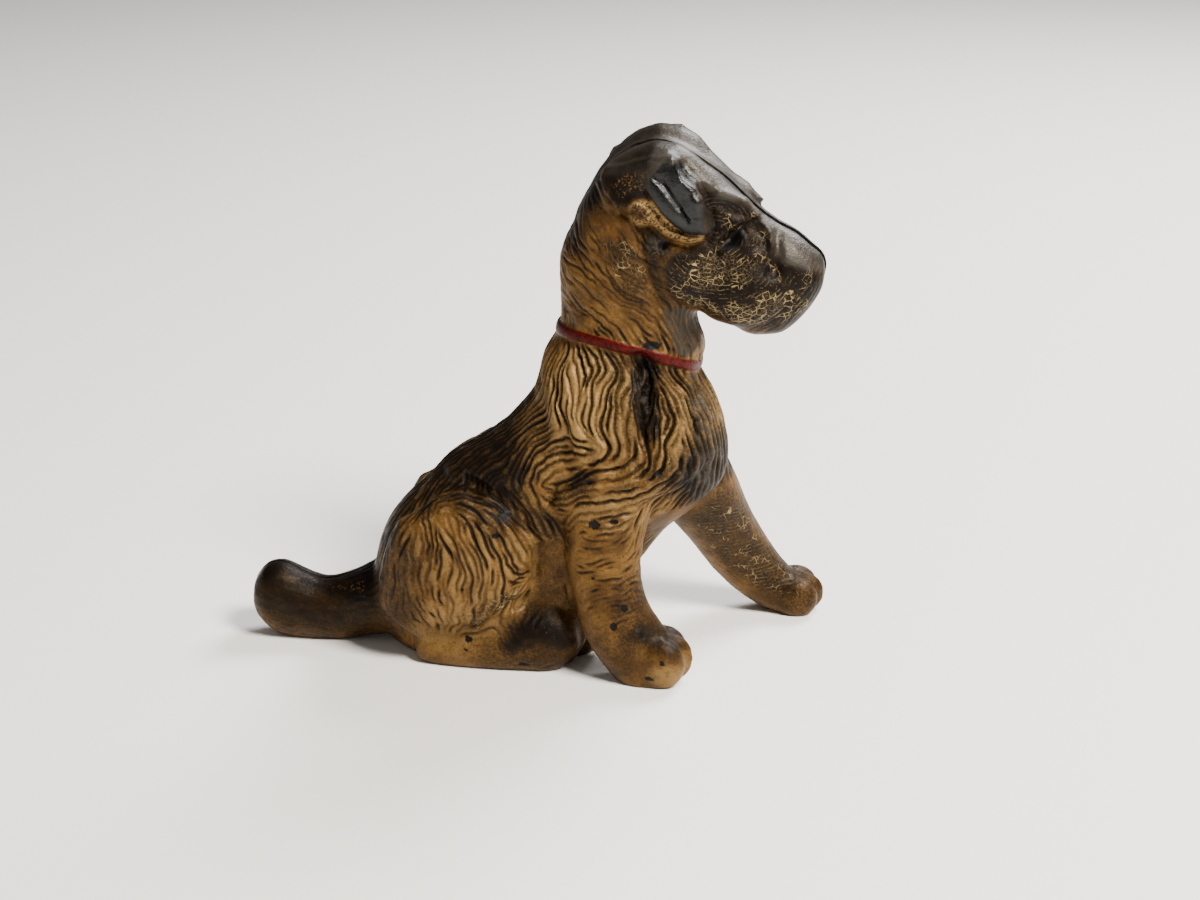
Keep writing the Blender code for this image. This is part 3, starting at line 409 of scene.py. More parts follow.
# Ovals of paint: centre, radii and how much of it.
OVAL_PAINT = {
    "dark": (
        ((34.0, 124.0), (22.0, 8.0), 1.0), ((-54.0, 14.0), (20.0, 12.0), 0.75),
        ((58.0, 90.0), (10.0, 10.0), 0.9), ((-34.0, 22.0), (9.0, 19.0), 0.5),
        # The dark ovals low by the hind foot, under the ruff, low on the near foreleg, by the near paw and
        # on the far paw are painted shade, darker towards the bottom.
        ((-2.0, 4.0), (14.0, 6.0), 0.5), ((40.0, 50.0), (9.0, 11.0), 0.9), ((28.0, 52.0), (9.0, 9.0), 0.4),
        ((23.0, 18.0), (4.0, 12.0), 0.5), ((17.0, 8.0), (9.0, 9.0), 0.35), ((62.0, 6.0), (9.0, 7.0), 0.5)),
    "taupe": (((34.0, 124.0), (22.0, 7.0), 1.0),),
    "orange": (
        ((23.8, 111.2), (2.0, 1.8), 1.1), ((19.0, 106.5), (5.5, 4.0), 0.4),
        ((49.4, 109.0), (1.8, 2.6), 0.6)),
    "cream": (
        ((43.0, 64.0), (5.0, 12.0), 0.9), ((12.0, 66.0), (11.0, 12.0), 0.75),
        # The cream oval on the lower haunch is painted light, and the small one on the brow ridge is a
        # painted highlight.
        ((-18.0, 11.0), (13.0, 9.0), 0.45), ((49.6, 110.4), (1.0, 1.6), 0.9),
        # The thin cream oval along the top of the ear's fold is a painted highlight.
        ((27.5, 123.4), (2.4, 0.7), 0.9), ((14.0, 89.0), (10.0, 9.0), 0.22),
        ((33.0, 62.0), (5.0, 11.0), 0.6), ((22.0, 60.0), (12.0, 14.0), 0.25),
        ((32.0, 4.0), (5.0, 3.5), 0.5), ((4.0, 57.0), (8.0, 8.0), 0.35), ((22.0, 44.0), (13.0, 7.0), 0.35),
        ((-8.0, 25.0), (13.0, 13.0), 0.35)),
    "grey": (((64.0, 8.0), (6.0, 6.0), 0.5),),
    "crackle": (((42.0, 97.0), (10.0, 6.0), 1.0), ((52.0, 89.0), (13.0, 5.0), 0.95)),
}

# The coats of paint from the first to the last: paint, mask, grain of its edge, spread of that grain, where
# the coat starts and is full, and how much it covers.
COATS = (
    ("ochre", "", "cloudy", 1.0, 0.38, 0.6, 0.95),
    ("sienna", "", "fleck", 1.0, 0.45, 0.7, 0.3),
    ("cream", "cream", "mottle", 0.8, 0.5, 1.3, 0.95),
    # Cream on the crests of the fur: painted highlights.
    ("cream", "crest", "mottle", 0.8, 0.95, 1.5, 0.45),
    ("sienna", "orange", "mottle", 0.6, 0.4, 1.1, 0.8),
    ("umber", "", "speck", 1.0, 0.57, 0.68, 0.5),
    ("umber", "", "mottle", 1.0, 0.52, 0.75, 0.3),
    # The dark coats lay down the mask's brown paint and its painted shade.
    ("umber", "dark", "spray", 1.0, 0.5, 1.3, 0.9),
    ("black_brown", "dark", "mottle", 0.6, 0.8, 1.3, 0.8),
    ("tan", "dark", "speck", 1.0, 1.63, 1.73, 0.7),
    # Umber and black brown in the grooves: partly dark paint left in them, partly painted shade.
    ("umber", "groove", "mottle", 0.4, 0.3, 0.8, 0.55),
    ("black_brown", "groove", "mottle", 0.7, 0.7, 1.25, 0.8),
    ("taupe", "grey", "mottle", 1.0, 1.08, 1.25, 0.8),
    ("taupe", "taupe", "mottle", 0.4, 0.4, 0.95, 0.95),
    ("umber", "taupe", "grain", 1.0, 1.42, 1.6, 0.6),
    ("cream", "taupe", "grain", -1.0, 0.58, 0.72, 0.35),
    ("ear_black", "black", "mottle", 0.4, 0.4, 0.85, 1.0),
    ("umber", "lip", "fleck", 1.0, 0.82, 0.9, 0.85),
    ("crackle_cream", "cracks", "grain", 0.0, 0.1, 0.8, 0.95),
    ("collar_red", "red", "mottle", 0.3, 0.4, 0.8, 1.0),
    ("collar_dark", "collar_wear", "fleck", 1.0, 1.44, 1.62, 0.85),
    ("iron_black", "chip", "speck", 1.6, 1.25, 1.5, 0.95),
    ("iron_black", "pits", "fleck", 0.2, 0.4, 0.8, 0.9),
)
MASKS = ("dark", "taupe", "black", "orange", "cream", "grey", "lip", "crackle", "chip", "red",
         "crest", "groove")
# Grains: size in millimetres and detail.
GRAINS = {"cloudy": (9.0, 3.0), "mottle": (2.2, 4.0), "fleck": (0.7, 2.0), "speck": (0.5, 2.0),
          "spray": (0.6, 4.0), "grain": (0.28, 2.0)}
# Nets of crackle: cell and line size, size of the patches they come in, how seldom, and their strength.
NETS = ((0.8, 0.08, 3.5, 0.455, 0.35), (1.7, 0.11, 3.2, 0.505, 0.85))
# Arcs of crackle: their centre, in metres, and the gap between them.
ARC_CENTRE = (0.0426, 0.0, 0.107)
ARC_GAP = 0.0010
# How far the lines of the crackle wander, in metres.
CRACK_BEND = 0.0009
# The pits: how far apart they lie, in millimetres.
PIT_SPACING = 4.2

# The stage, in metres: the floor, the room's light, the lamps with place, size and colour, and the camera.
FLOOR_SIZE = 6.0
ROOM_LIGHT = 0.18
LAMPS = (
    ("window", (0.5, -0.4, 0.75), 0.28, "#FFF8EC"),
    ("fill", (-0.7, -0.6, 0.5), 0.8, "#FFF4E6"),
    ("sky", (0.45, 0.6, 0.75), 0.45, "#FFFFFF"),
)
LAMP_AIM = (0, 0, 0.06)
CAMERA_PLACE = (0.06055, -0.48844, 0.22879)
CAMERA_WAY = (-0.0873, 0.9346, -0.3447)
CAMERA_LENS = 66.0


def layout_origin():
    """The place of the layout's zero: the tail's end and the joint lie where the castings have them."""
    joint = (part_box("left_casting")[0].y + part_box("right_casting")[1].y) / 2
    return np.array([cad_box[0].x - TAIL_END_X * MM, joint, 0.0])


def linear(colour):
    """An sRGB hex colour as linear red, green, blue and alpha."""
    parts = [int(colour[i:i + 2], 16) / 255 for i in (1, 3, 5)]
    return tuple(p / 12.92 if p <= 0.04045 else ((p + 0.055) / 1.055) ** 2.4 for p in parts) + (1.0,)


def smooth_step(value, low, high):
    """0 below low, 1 above high, and smooth between."""
    t = np.clip((value - low) / (high - low), 0, 1)
    return t * t * (3 - 2 * t)


def path_distance(x, z, path):
    """Distance of each point to a path of straight runs, in the side view."""
    nearest = np.full(len(x), 1e9)
    for (x1, z1), (x2, z2) in zip(path, path[1:]):
        run_x, run_z = x2 - x1, z2 - z1
        t = np.clip(((x - x1) * run_x + (z - z1) * run_z) / (run_x**2 + run_z**2), 0, 1)
        nearest = np.minimum(nearest, np.hypot(x - x1 - t * run_x, z - z1 - t * run_z))
    return nearest


def inside(x, z, zone, soft=1.0):
    """1 inside a zone and 0 outside it, with an edge that is twice soft wide."""
    closed = zone + zone[:1]
    within = np.zeros(len(x), bool)
    for (x1, z1), (x2, z2) in zip(closed, closed[1:]):
        crosses = (z1 > z) != (z2 > z)
        if z1 != z2:
            within ^= crosses & (x < (x2 - x1) * (z - z1) / (z2 - z1) + x1)
    edge = path_distance(x, z, closed)
    return smooth_step(np.where(within, edge, -edge), -soft, soft)


def oval(x, z, centre, radii, soft=0.3):
    """1 inside an oval, falling to 0 across its edge."""
    reach = np.hypot((x - centre[0]) / radii[0], (z - centre[1]) / radii[1])
    return 1 - smooth_step(reach, 1 - soft, 1 + soft)


def mesh_rows(mesh, attribute):
    """The vertices' coordinates or normals, one row for each."""
    values = np.empty(len(mesh.vertices) * 3)
    mesh.vertices.foreach_get(attribute, values)
    return values.reshape(-1, 3)


def move_to(mesh, points):
    """Moves the vertices to these points."""
    mesh.vertices.foreach_set("co", points.ravel())
    mesh.update()


def add_object(name, data):
    """A new object of the scene with this data."""
    made = bpy.data.objects.new(name, data)
    bpy.context.scene.collection.objects.link(made)
    return made


def pick(*objects):
    """Selects these objects alone, the first one active."""
    bpy.ops.object.select_all(action="DESELECT")
    for obj in objects:
        obj.select_set(True)
    bpy.context.view_layer.objects.active = objects[0]


def modify(obj, name, kind, **settings):
    """Adds a modifier and applies it."""
    made = obj.modifiers.new(name, kind)
    for key, value in settings.items():
        setattr(made, key, value)
    bpy.ops.object.modifier_apply(modifier=made.name)


def edit(obj, *steps):
    """Runs mesh operators on the whole of an object, each with its settings."""
    pick(obj)
    bpy.ops.object.mode_set(mode="EDIT")
    for operator, settings in steps:
        bpy.ops.mesh.select_all(action="SELECT")
        operator(**settings)
    bpy.ops.object.mode_set(mode="OBJECT")


def merged_copy(node):
    """A copy of a packed casting with its doubles merged and its joint face pushed past the joint plane."""
    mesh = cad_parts[node].data.copy()
    mesh.materials.clear()
    copy = add_object(node + "_copy", mesh)
    edit(copy, (bpy.ops.mesh.remove_doubles, {"threshold": 1e-6}))
    points = mesh_rows(mesh, "co")
    joint = layout_origin()[1]
    at_joint = np.abs(points[:, 1] - joint) < 0.2 * MM
    points[at_joint, 1] = joint + (1 if node == "right_casting" else -1) * JOINT_OVERLAP * MM
    move_to(mesh, points)
    return copy


def whole_dog():
    """Both castings fused into one closed body of fine even faces, their facets smoothed away."""
    right, left = merged_copy("right_casting"), merged_copy("left_casting")
    pick(right, left)
    bpy.ops.object.join()
    modify(right, "fuse", "REMESH", mode="VOXEL", voxel_size=VOXEL * MM)
    modify(right, "even", "SMOOTH", factor=0.5, iterations=SMOOTHING)
    return right


def fur_direction(x, z):
    """The way the fur lies at each point of the side view, from the drawn lines near it."""
    starts, ends = [], []
    for line in LOCKS:
        starts += line[:-1]
        ends += line[1:]
    starts, ends = np.array(starts), np.array(ends)
    middles, runs = (starts + ends) / 2, ends - starts
    lengths = np.hypot(runs[:, 0], runs[:, 1])
    angles = 2 * np.arctan2(runs[:, 1], runs[:, 0])
    total_c, total_s = np.zeros(len(x)), np.zeros(len(x))
    for (mx, mz), angle, length in zip(middles, angles, lengths):
        away = (x - mx) ** 2 + (z - mz) ** 2
        weight = length * (np.exp(-away / LINE_SPREAD**2) + 1e-3 / (1 + away))
        total_c += weight * np.cos(angle)
        total_s += weight * np.sin(angle)
    lie = np.arctan2(total_s, total_c) / 2
    along = z * np.abs(np.sin(lie)) + x * np.abs(np.cos(lie))
    lie = lie + WAVE_TURN * np.sin(2 * pi * along / WAVE_LENGTH + 0.5 * np.sin(x / 6.1 + z / 7.3))
    return np.cos(lie), np.sin(lie)


class Combing:
    """Cuts evenly spaced grooves into a surface along the way its fur lies."""

    def __init__(self, points, normals, lie, amount, gap, run, half_width):
        self.points, self.normals, self.lie = points, normals, lie
        self.amount, self.gap, self.run, self.half_width = amount, gap, run, half_width
        self.near = np.full(len(points), 9.0)
        self.cut = np.zeros(len(points))
        self.tree = KDTree(len(points))
        for i, point in enumerate(points):
            self.tree.insert(point, i)
        self.tree.balance()
        self.chance = np.random.default_rng(SEED)

    def trace(self, start, sign, length):
        """Points of a groove from a vertex onwards, until it runs out of fur, room or length."""
        made = []
        point, ahead = self.points[start], self.lie[start] * sign
        while len(made) * STEP < length:
            step = point + ahead * STEP
            _, spot, _ = self.tree.find(step)
            if self.amount[spot] < LEAST_FUR or self.near[spot] < 0.5 * self.gap[spot]:
                break
            normal = self.normals[spot]
            point = step - normal * np.dot(step - self.points[spot], normal)
            turn = self.lie[spot]
            ahead = turn if np.dot(turn, ahead) > 0 else -turn
            made.append((point, spot))
        return made

    def groove(self, start):
        """Traces a groove both ways from a vertex, marks the surface round it and returns its points."""
        length = self.run[start] * self.chance.uniform(0.3, 0.8)
        back = self.trace(start, -1, length)
        line = back[::-1] + [(self.points[start], start)] + self.trace(start, 1, length)
        if len(line) * STEP < SHORTEST:
            return []
        bite = self.chance.uniform(0.45, 1.2)
        for i, (point, _) in enumerate(line):
            ends = min(i, len(line) - 1 - i) * STEP
            strength = bite * min(1.0, 0.25 + ends / 2.5)
            for _, near, distance in self.tree.find_range(point, REACH):
                if distance < self.near[near]:
                    self.near[near] = distance
                depth = strength * np.exp(-(distance / self.half_width) ** 2) if distance < 1.2 else 0.0
                if depth > self.cut[near]:
                    self.cut[near] = depth
        return line

    def comb(self, first):
        """Grooves from the first vertices, then beside every groove, then wherever bare fur is left."""
        waiting = [spot for spot in first if self.near[spot] > 1.0]
        loose = iter(self.chance.permutation(np.flatnonzero(self.amount > 0.35)))
        while True:
            while waiting:
                spot = waiting.pop(0)
                if self.near[spot] < 0.9 * self.gap[spot] or self.amount[spot] < LEAST_FUR:
                    continue
                line = self.groove(spot)
                for point, at in line[3::7]:
                    across = np.cross(self.normals[at], self.lie[at]) * self.gap[at]
                    for side in (-1, 1):
                        _, beside, _ = self.tree.find(point + across * side)
                        if self.near[beside] > 0.9 * self.gap[beside]:
                            waiting.append(beside)
            spot = next(loose, None)
            if spot is None:
                return
            if self.near[spot] > 1.05 * self.gap[spot]:
                waiting.append(spot)


def collar_mask(x, z, side, width):
    """1 on the collar and 0 off it: it lies in a plane across the neck and climbs a little at the sides."""
    run = np.subtract(COLLAR_FRONT, COLLAR_BACK)
    across = np.array([-run[1], run[0]]) / np.hypot(*run)
    rise = COLLAR_CLIMB * np.clip(side / COLLAR_HALF_WIDTH, 0, 1) ** 2
    off = np.abs((x - COLLAR_BACK[0]) * across[0] + (z - COLLAR_BACK[1]) * across[1] - rise)
    return 1 - smooth_step(off, width / 2 - 0.25, width / 2 + 0.2)


def sculpt(dog, sizes):
    """Moves the vertices to the modelled features and the fur, and returns where grooves were cut."""
    mesh = dog.data
    origin = layout_origin()
    points = (mesh_rows(mesh, "co") - origin) / MM
    normals = mesh_rows(mesh, "normal")
    x, y, z = points.T
    side = np.abs(y)
    push = np.zeros(len(x))
    for path, width, height, from_side in FEATURES:
        line = np.exp(-(path_distance(x, z, path) / width) ** 2)
        push += height * line * smooth_step(side, from_side, from_side + 2.5)
    for (mx, mz), radius, height, from_side in MARKS:
        away = np.hypot(x - mx, z - mz) / radius
        push += height * np.exp(-away**2) * smooth_step(side, from_side, from_side + 2.0)
    push += sizes.ear_rise / MM * inside(x, z, EAR_FLAP, 0.9) * smooth_step(side, 6.5, 9.5)
    collar = collar_mask(x, z, side, sizes.collar_width / MM)
    push += sizes.collar_rise / MM * collar
    points = points + normals * push[:, None]
    move_to(mesh, points * MM + origin)
    normals = mesh_rows(mesh, "normal")
    x, y, z = points.T
    side = np.abs(y)
    weight, gap, depth, run = (np.full(len(x), 1e-6) for _ in range(4))
    amount = np.zeros(len(x))
    for centre, radii, spacing, cut, length in FUR_AREAS:
        here = oval(x, z, centre, radii)
        amount = np.maximum(amount, here)
        weight += here
        gap += here * spacing
        depth += here * cut
        run += here * length
    gap, depth, run = gap / weight, depth / weight, run / weight
    bare = np.maximum.reduce([inside(x, z, EAR, 0.8) * smooth_step(side, 7, 9), collar,
                              inside(x, z, SIDE, 1.0) * 0.8, 1 - smooth_step(z, 0.5, 1.5),
                              inside(x, z, CROWN, 1.0), inside(x, z, PAW_TOP, 1.0)])
    amount *= 1 - bare
    across, up = fur_direction(x, z)
    lie = np.stack([across, np.zeros(len(x)), up], 1)
    lie -= normals * np.sum(lie * normals, 1)[:, None]
    size = np.linalg.norm(lie, axis=1)
    lie /= np.maximum(size, 1e-6)[:, None]
    amount *= smooth_step(size, 0.15, 0.4)
    combing = Combing(points, normals, lie, amount, gap, run, sizes.groove_half_width / MM)
    first = []
    for line in LOCKS:
        mx, mz = line[len(line) // 2]
        away = np.hypot(x - mx, z - mz)
        for half in (-1, 1):
            near = np.flatnonzero((away < 0.7) & (y * half > 2.0))
            if len(near):
                first.append(near[np.argmax(side[near])])
    combing.comb(first)
    groove = combing.cut * smooth_step(amount, 0.1, 0.6)
    crest = np.clip(combing.near / (0.5 * gap), 0, 1) * smooth_step(amount, 0.2, 0.7)
    depth *= sizes.fur_depth
    points = points + normals * (depth * (0.25 * crest - groove))[:, None]
    move_to(mesh, points * MM + origin)
    # Handed on for the paint: the grooves, painted darker, partly dark paint left in them and partly
    # painted shade, and the crests, painted with highlights.
    deep = smooth_step(depth, 0.04, 0.48)
    return points, groove**1.4 * deep, crest * deep, collar


def paint_masks(points, groove_paint_and_shade, crest, collar):
    """How much of each paint lies at each vertex, by the name of its attribute."""
    x, y, z = points.T
    side = np.abs(y)
    outer = smooth_step(side, 3.0, 6.0)
    reach = {"all": 1.0, "outer": outer, "left": smooth_step(y, 0.0, 1.0)}
    masks = {name: np.zeros(len(x)) for name in ZONE_PAINT}
    for name, zones in ZONE_PAINT.items():
        for zone, soft, amount, sides in zones:
            masks[name] = np.maximum(masks[name], amount * inside(x, z, zone, soft) * reach[sides])
    for name, ovals in OVAL_PAINT.items():
        for centre, radii, amount in ovals:
            masks[name] = np.maximum(masks[name], amount * oval(x, z, centre, radii, 0.5))
    masks["taupe"] *= 1 - 0.6 * inside(x, z, OCCIPUT, 3.0)
    masks["crackle"] *= 1 - 0.85 * masks["black"]
    dark = masks["dark"] * (1 - 0.5 * inside(x, z, TUFT, 2.5) * outer)
    face = inside(x, z, FACE, 1.0)
    # Dark paint thinned on the crests and thickened in the grooves: painted highlights and painted shade,
    # partly paint worn off the crests.
    masks["dark"] = dark * (1 - 0.3 * crest * (1 - face)) + 0.25 * dark * groove_paint_and_shade
    # The eye's black fills its socket: partly the painted eye, partly painted shade.
    eye = inside(x, z, EYE, 0.5) * smooth_step(side, 4.0, 6.0)
    chip = np.maximum(eye, oval(x, z, *EAR_HOLE) * outer)
    for centre, radii in CHIPS:
        chip = np.maximum(chip, oval(x, z, centre, radii, 0.35) * outer * (y < 0))
    on_head = np.maximum(smooth_step(z, 99, 101), smooth_step(x, 58, 60))
    joint = np.exp(-(side / 0.45) ** 2) * (0.6 + 0.5 * on_head)
    # The groove mask is painted shade in the grooves, partly dark paint left in them, kept faint on the
    # face.
    masks.update(chip=np.maximum(chip, joint), red=collar, crest=crest, groove=groove_paint_and_shade * (1 - 0.7 * face))
    return masks


def add_node(tree, kind, inputs=(), output=0, **settings):
    """Adds a node with its settings, gives its numbered inputs values or links, and returns an output."""
    node = tree.nodes.new(kind)
    for key, value in settings.items():
        setattr(node, key, value)
    for number, value in inputs:
        if isinstance(value, bpy.types.NodeSocket):
            tree.links.new(value, node.inputs[number])
        else:
            node.inputs[number].default_value = value
    return node.outputs[output]


def painted_cast_iron(paints):
    """Bronze and oil paint on sand-cast iron: it gives the fur a dull gold sheen with painted highlights of
    cream on its crests, painted shade in its grooves, partly the dark paint left in them, and a satin skin
    that is crackled, speckled and chipped down to the dark iron."""
    made = bpy.data.materials.new("oil_painted_cast_iron")
    made.use_nodes = True
    tree = made.node_tree
    add = partial(add_node, tree)
    shader = tree.nodes["Principled BSDF"]
    place = add("ShaderNodeTexCoord", output=3)
    masks = {name: add("ShaderNodeAttribute", output=2, attribute_name=name) for name in MASKS}
    masks[""] = 0.0
    masks["collar_wear"] = masks["red"]
    grains = {}
    for name, (size, detail) in GRAINS.items():
        grains[name] = add("ShaderNodeTexNoise", ((0, place), (2, 1000 / size), (3, detail), (4, 0.6)))

    # The crackle: two nets of cells with wandering edges, and arcs round the eye, each left out in patches.
    bend = add("ShaderNodeTexNoise", ((0, place), (2, 1000 / 1.5), (3, 2.0)), output=1)
    bent = add("ShaderNodeVectorMath", ((0, bend), (1, (CRACK_BEND,) * 3), (2, place)),
               operation="MULTIPLY_ADD")
    from_eye = add("ShaderNodeVectorMath", ((0, bent), (1, ARC_CENTRE)), operation="SUBTRACT")
    arcs = add("ShaderNodeTexWave",
               ((0, from_eye), (1, 2 * pi / 20 / ARC_GAP), (2, 1.5), (3, 2.0), (4, 400.0)),
               output=1, wave_type="RINGS", rings_direction="Y")
    arcs = add("ShaderNodeMapRange", ((0, arcs), (1, 0.8), (2, 0.97), (4, 0.5)))
    patch = add("ShaderNodeMapRange", ((0, grains["mottle"]), (1, 0.46), (2, 0.56)))
    cracks = add("ShaderNodeMath", ((0, arcs), (1, patch)), operation="MULTIPLY")
    for cell, line, patch_size, least, strength in NETS:
        edge = add("ShaderNodeTexVoronoi", ((0, bent), (2, 1000 / cell)), feature="DISTANCE_TO_EDGE")
        net = add("ShaderNodeMapRange",
                  ((0, edge), (1, 0.25 * line / cell), (2, 0.7 * line / cell), (3, strength), (4, 0.0)),
                  interpolation_type="SMOOTHSTEP")
        patch = add("ShaderNodeTexNoise", ((0, place), (2, 1000 / patch_size), (3, 2.0)))
        patch = add("ShaderNodeMath", ((0, masks["crackle"]), (1, 0.3), (2, patch)),
                    operation="MULTIPLY_ADD")
        patch = add("ShaderNodeMapRange", ((0, patch), (1, least + 0.22), (2, least + 0.32)))
        net = add("ShaderNodeMath", ((0, net), (1, patch)), operation="MULTIPLY")
        cracks = add("ShaderNodeMath", ((0, cracks), (1, net)), operation="MAXIMUM")
    masks["cracks"] = add("ShaderNodeMath", ((0, cracks), (1, masks["crackle"])), operation="MULTIPLY")

    # The pits: small round casting flaws, in some places only.
    pits = add("ShaderNodeTexVoronoi", ((0, place), (2, 1000 / PIT_SPACING)))
    pits = add("ShaderNodeMapRange", ((0, pits), (1, 0.06), (2, 0.1), (3, 1.0), (4, 0.0)))
    patch = add("ShaderNodeMapRange", ((0, grains["cloudy"]), (1, 0.5), (2, 0.6)))
    masks["pits"] = add("ShaderNodeMath", ((0, pits), (1, patch)), operation="MULTIPLY")

    colour = paints["tan"]
    for paint, mask, grain, spread, start, full, most in COATS:
        edge = add("ShaderNodeMath", ((0, grains[grain]), (1, spread), (2, masks[mask])),
                   operation="MULTIPLY_ADD")
        coat = add("ShaderNodeMapRange", ((0, edge), (1, start), (2, full), (4, most)),
                   interpolation_type="SMOOTHSTEP")
        colour = add("ShaderNodeMix", ((0, coat), (6, colour), (7, paints[paint])), output=2,
                     data_type="RGBA")
    tree.links.new(colour, shader.inputs["Base Color"])

    rough = add("ShaderNodeMapRange", ((0, grains["mottle"]), (1, 0.3), (2, 0.7), (3, 0.36), (4, 0.52)))
    for mask, change in (("black", -0.12), ("taupe", -0.04), ("groove", 0.2)):
        rough = add("ShaderNodeMath", ((0, masks[mask]), (1, change), (2, rough)), operation="MULTIPLY_ADD")
    tree.links.new(rough, shader.inputs["Roughness"])
    shine = add("ShaderNodeMath", ((0, masks["taupe"]), (1, 0.75), (2, masks["black"])),
                operation="MULTIPLY_ADD")
    shine = add("ShaderNodeMapRange", ((0, shine), (3, 0.14), (4, 0.48)))
    tree.links.new(shine, shader.inputs["Specular IOR Level"])
    shader.inputs["Metallic"].default_value = 0.3

    relief = 0.0
    for height, amount in ((grains["grain"], 0.5), (grains["fleck"], 0.8), (masks["cracks"], -0.6),
                           (masks["chip"], -0.8), (masks["pits"], -0.8)):
        relief = add("ShaderNodeMath", ((0, height), (1, amount), (2, relief)), operation="MULTIPLY_ADD")
    bump = add("ShaderNodeBump", ((0, 0.7), (1, 0.0002)))
    tree.links.new(relief, bump.node.inputs["Height"])
    tree.links.new(bump, shader.inputs["Normal"])
    return made


def matt_white_paper(colour):
    """Matt paper: it gives the floor a pale, soft surface without a reflection."""
    made = bpy.data.materials.new("matt_white_paper")
    made.use_nodes = True
    shader = made.node_tree.nodes["Principled BSDF"]
    shader.inputs["Base Color"].default_value = colour
    shader.inputs["Roughness"].default_value = 0.9
    return made


def half_of(dog, name, side, coat, step):
    """One half casting cut from the sculpted body, flat at the joint and at its soles, and lower by the
    step along the joint, where the halves don't quite meet."""
    mesh = dog.data.copy()
    half = add_object(name, mesh)
    cut = {"use_fill": True, "clear_outer": True, "threshold": 1e-7}
    at_joint = {"plane_co": (0, layout_origin()[1] + side * JOINT_GAP * MM, 0), "plane_no": (0, -side, 0)}
    at_soles = {"plane_co": (0, 0, 0), "plane_no": (0, 0, -1)}
    edit(half, *((bpy.ops.mesh.bisect, cut | plane) for plane in (at_joint, at_soles)))
    points, normals = mesh_rows(mesh, "co"), mesh_rows(mesh, "normal")
    x, y, z = ((points - layout_origin()) / MM).T
    on_head = np.maximum(smooth_step(z, 98, 104), smooth_step(x, 56, 60))
    normals[:, 1] = 0
    normals /= np.maximum(np.linalg.norm(normals, axis=1), 1e-6)[:, None]
    fall = (0.2 + 0.8 * on_head) * np.exp(-(y / 1.5) ** 2) * smooth_step(z, 1.0, 4.0)
    fall = step * np.maximum(fall, 1.6 * oval(x, z, *CROWN_TOP, 0.5))
    move_to(mesh, points - normals * fall[:, None])
    edit(half, (bpy.ops.mesh.quads_convert_to_tris, {}),
         (bpy.ops.mesh.normals_make_consistent, {"inside": False}))
    mesh.materials.append(coat)
    bpy.ops.object.shade_smooth_by_angle(angle=radians(50))
    return half


def looking(place, way):
    """The matrix of a lamp or camera at a place, looking that way."""
    return Matrix.Translation(place) @ way.to_track_quat("-Z", "Y").to_matrix().to_4x4()


def colour_setting(name, description, colour):
    """A setting that holds a colour."""
    return bpy.props.FloatVectorProperty(
        name=name, description=description, subtype="COLOR", size=4, min=0, max=1, default=linear(colour))


def length_setting(name, description, metres):
    """A setting that holds a small length."""
    return bpy.props.FloatProperty(
        name=name, description=description, min=0, default=metres, unit="LENGTH", precision=5)


def power_setting(name, description, watts):
    """A setting that holds the power of a lamp."""
    return bpy.props.FloatProperty(name=name, description=description, min=0, default=watts, unit="POWER")


class TerrierPaints(bpy.types.PropertyGroup):
    """Colours of the paints and the floor."""
    tan: colour_setting("Tan", "Lighter ground colour of the fur", "#674A22")
    ochre: colour_setting("Ochre", "Warmer ground colour of the fur", "#452F12")
    sienna: colour_setting("Sienna", "Orange brown of the jaw and flecks", "#41240A")
    cream: colour_setting("Cream", "Palest fur, on the ruff and chest", "#8C6E42")
    umber: colour_setting("Umber", "Brown of the saddle and face", "#120B04")
    black_brown: colour_setting("Black brown", "Deepest fur and grooves", "#060302")
    taupe: colour_setting("Taupe", "Grey brown of the crown and nose", "#312C25")
    ear_black: colour_setting("Ear black", "Blue black gloss of the ears", "#070809")
    crackle_cream: colour_setting("Crackle", "Undercoat in the cracks", "#94805A")
    collar_red: colour_setting("Collar red", "Red of the collar", "#4A0502")
    collar_dark: colour_setting("Collar dark", "Worn red of the collar", "#1C0603")
    iron_black: colour_setting("Bare iron", "Dark iron in chips and eyes", "#060606")
    floor: colour_setting("Floor", "Matt paper of the floor", "#F4F3F0")


class TerrierSizes(bpy.types.PropertyGroup):
    """Sizes of the modelled surface and powers of the lamps."""
    groove_half_width: length_setting("Groove half width", "Half the width of a groove in the fur", 0.0005)
    ear_rise: length_setting("Ear rise", "How far the ear flaps stand off the head", 0.0015)
    collar_width: length_setting("Collar width", "Width of the collar's band", 0.0023)
    collar_rise: length_setting("Collar rise", "How far the collar stands off the neck", 0.0003)
    joint_step: length_setting("Joint step",
                               "How much lower the right half lies along the joint of the head", 0.00055)
    fur_depth: bpy.props.FloatProperty(
        name="Fur depth", description="Share of the modelled depth of the fur", min=0, max=2, default=1.0,
        subtype="FACTOR")
    window_power: power_setting("Window power", "Power of the main lamp", 24.0)
    fill_power: power_setting("Fill power", "Power of the lamp that lifts the shadows", 0.8)
    sky_power: power_setting("Sky power", "Power of the lamp overhead", 18.0)


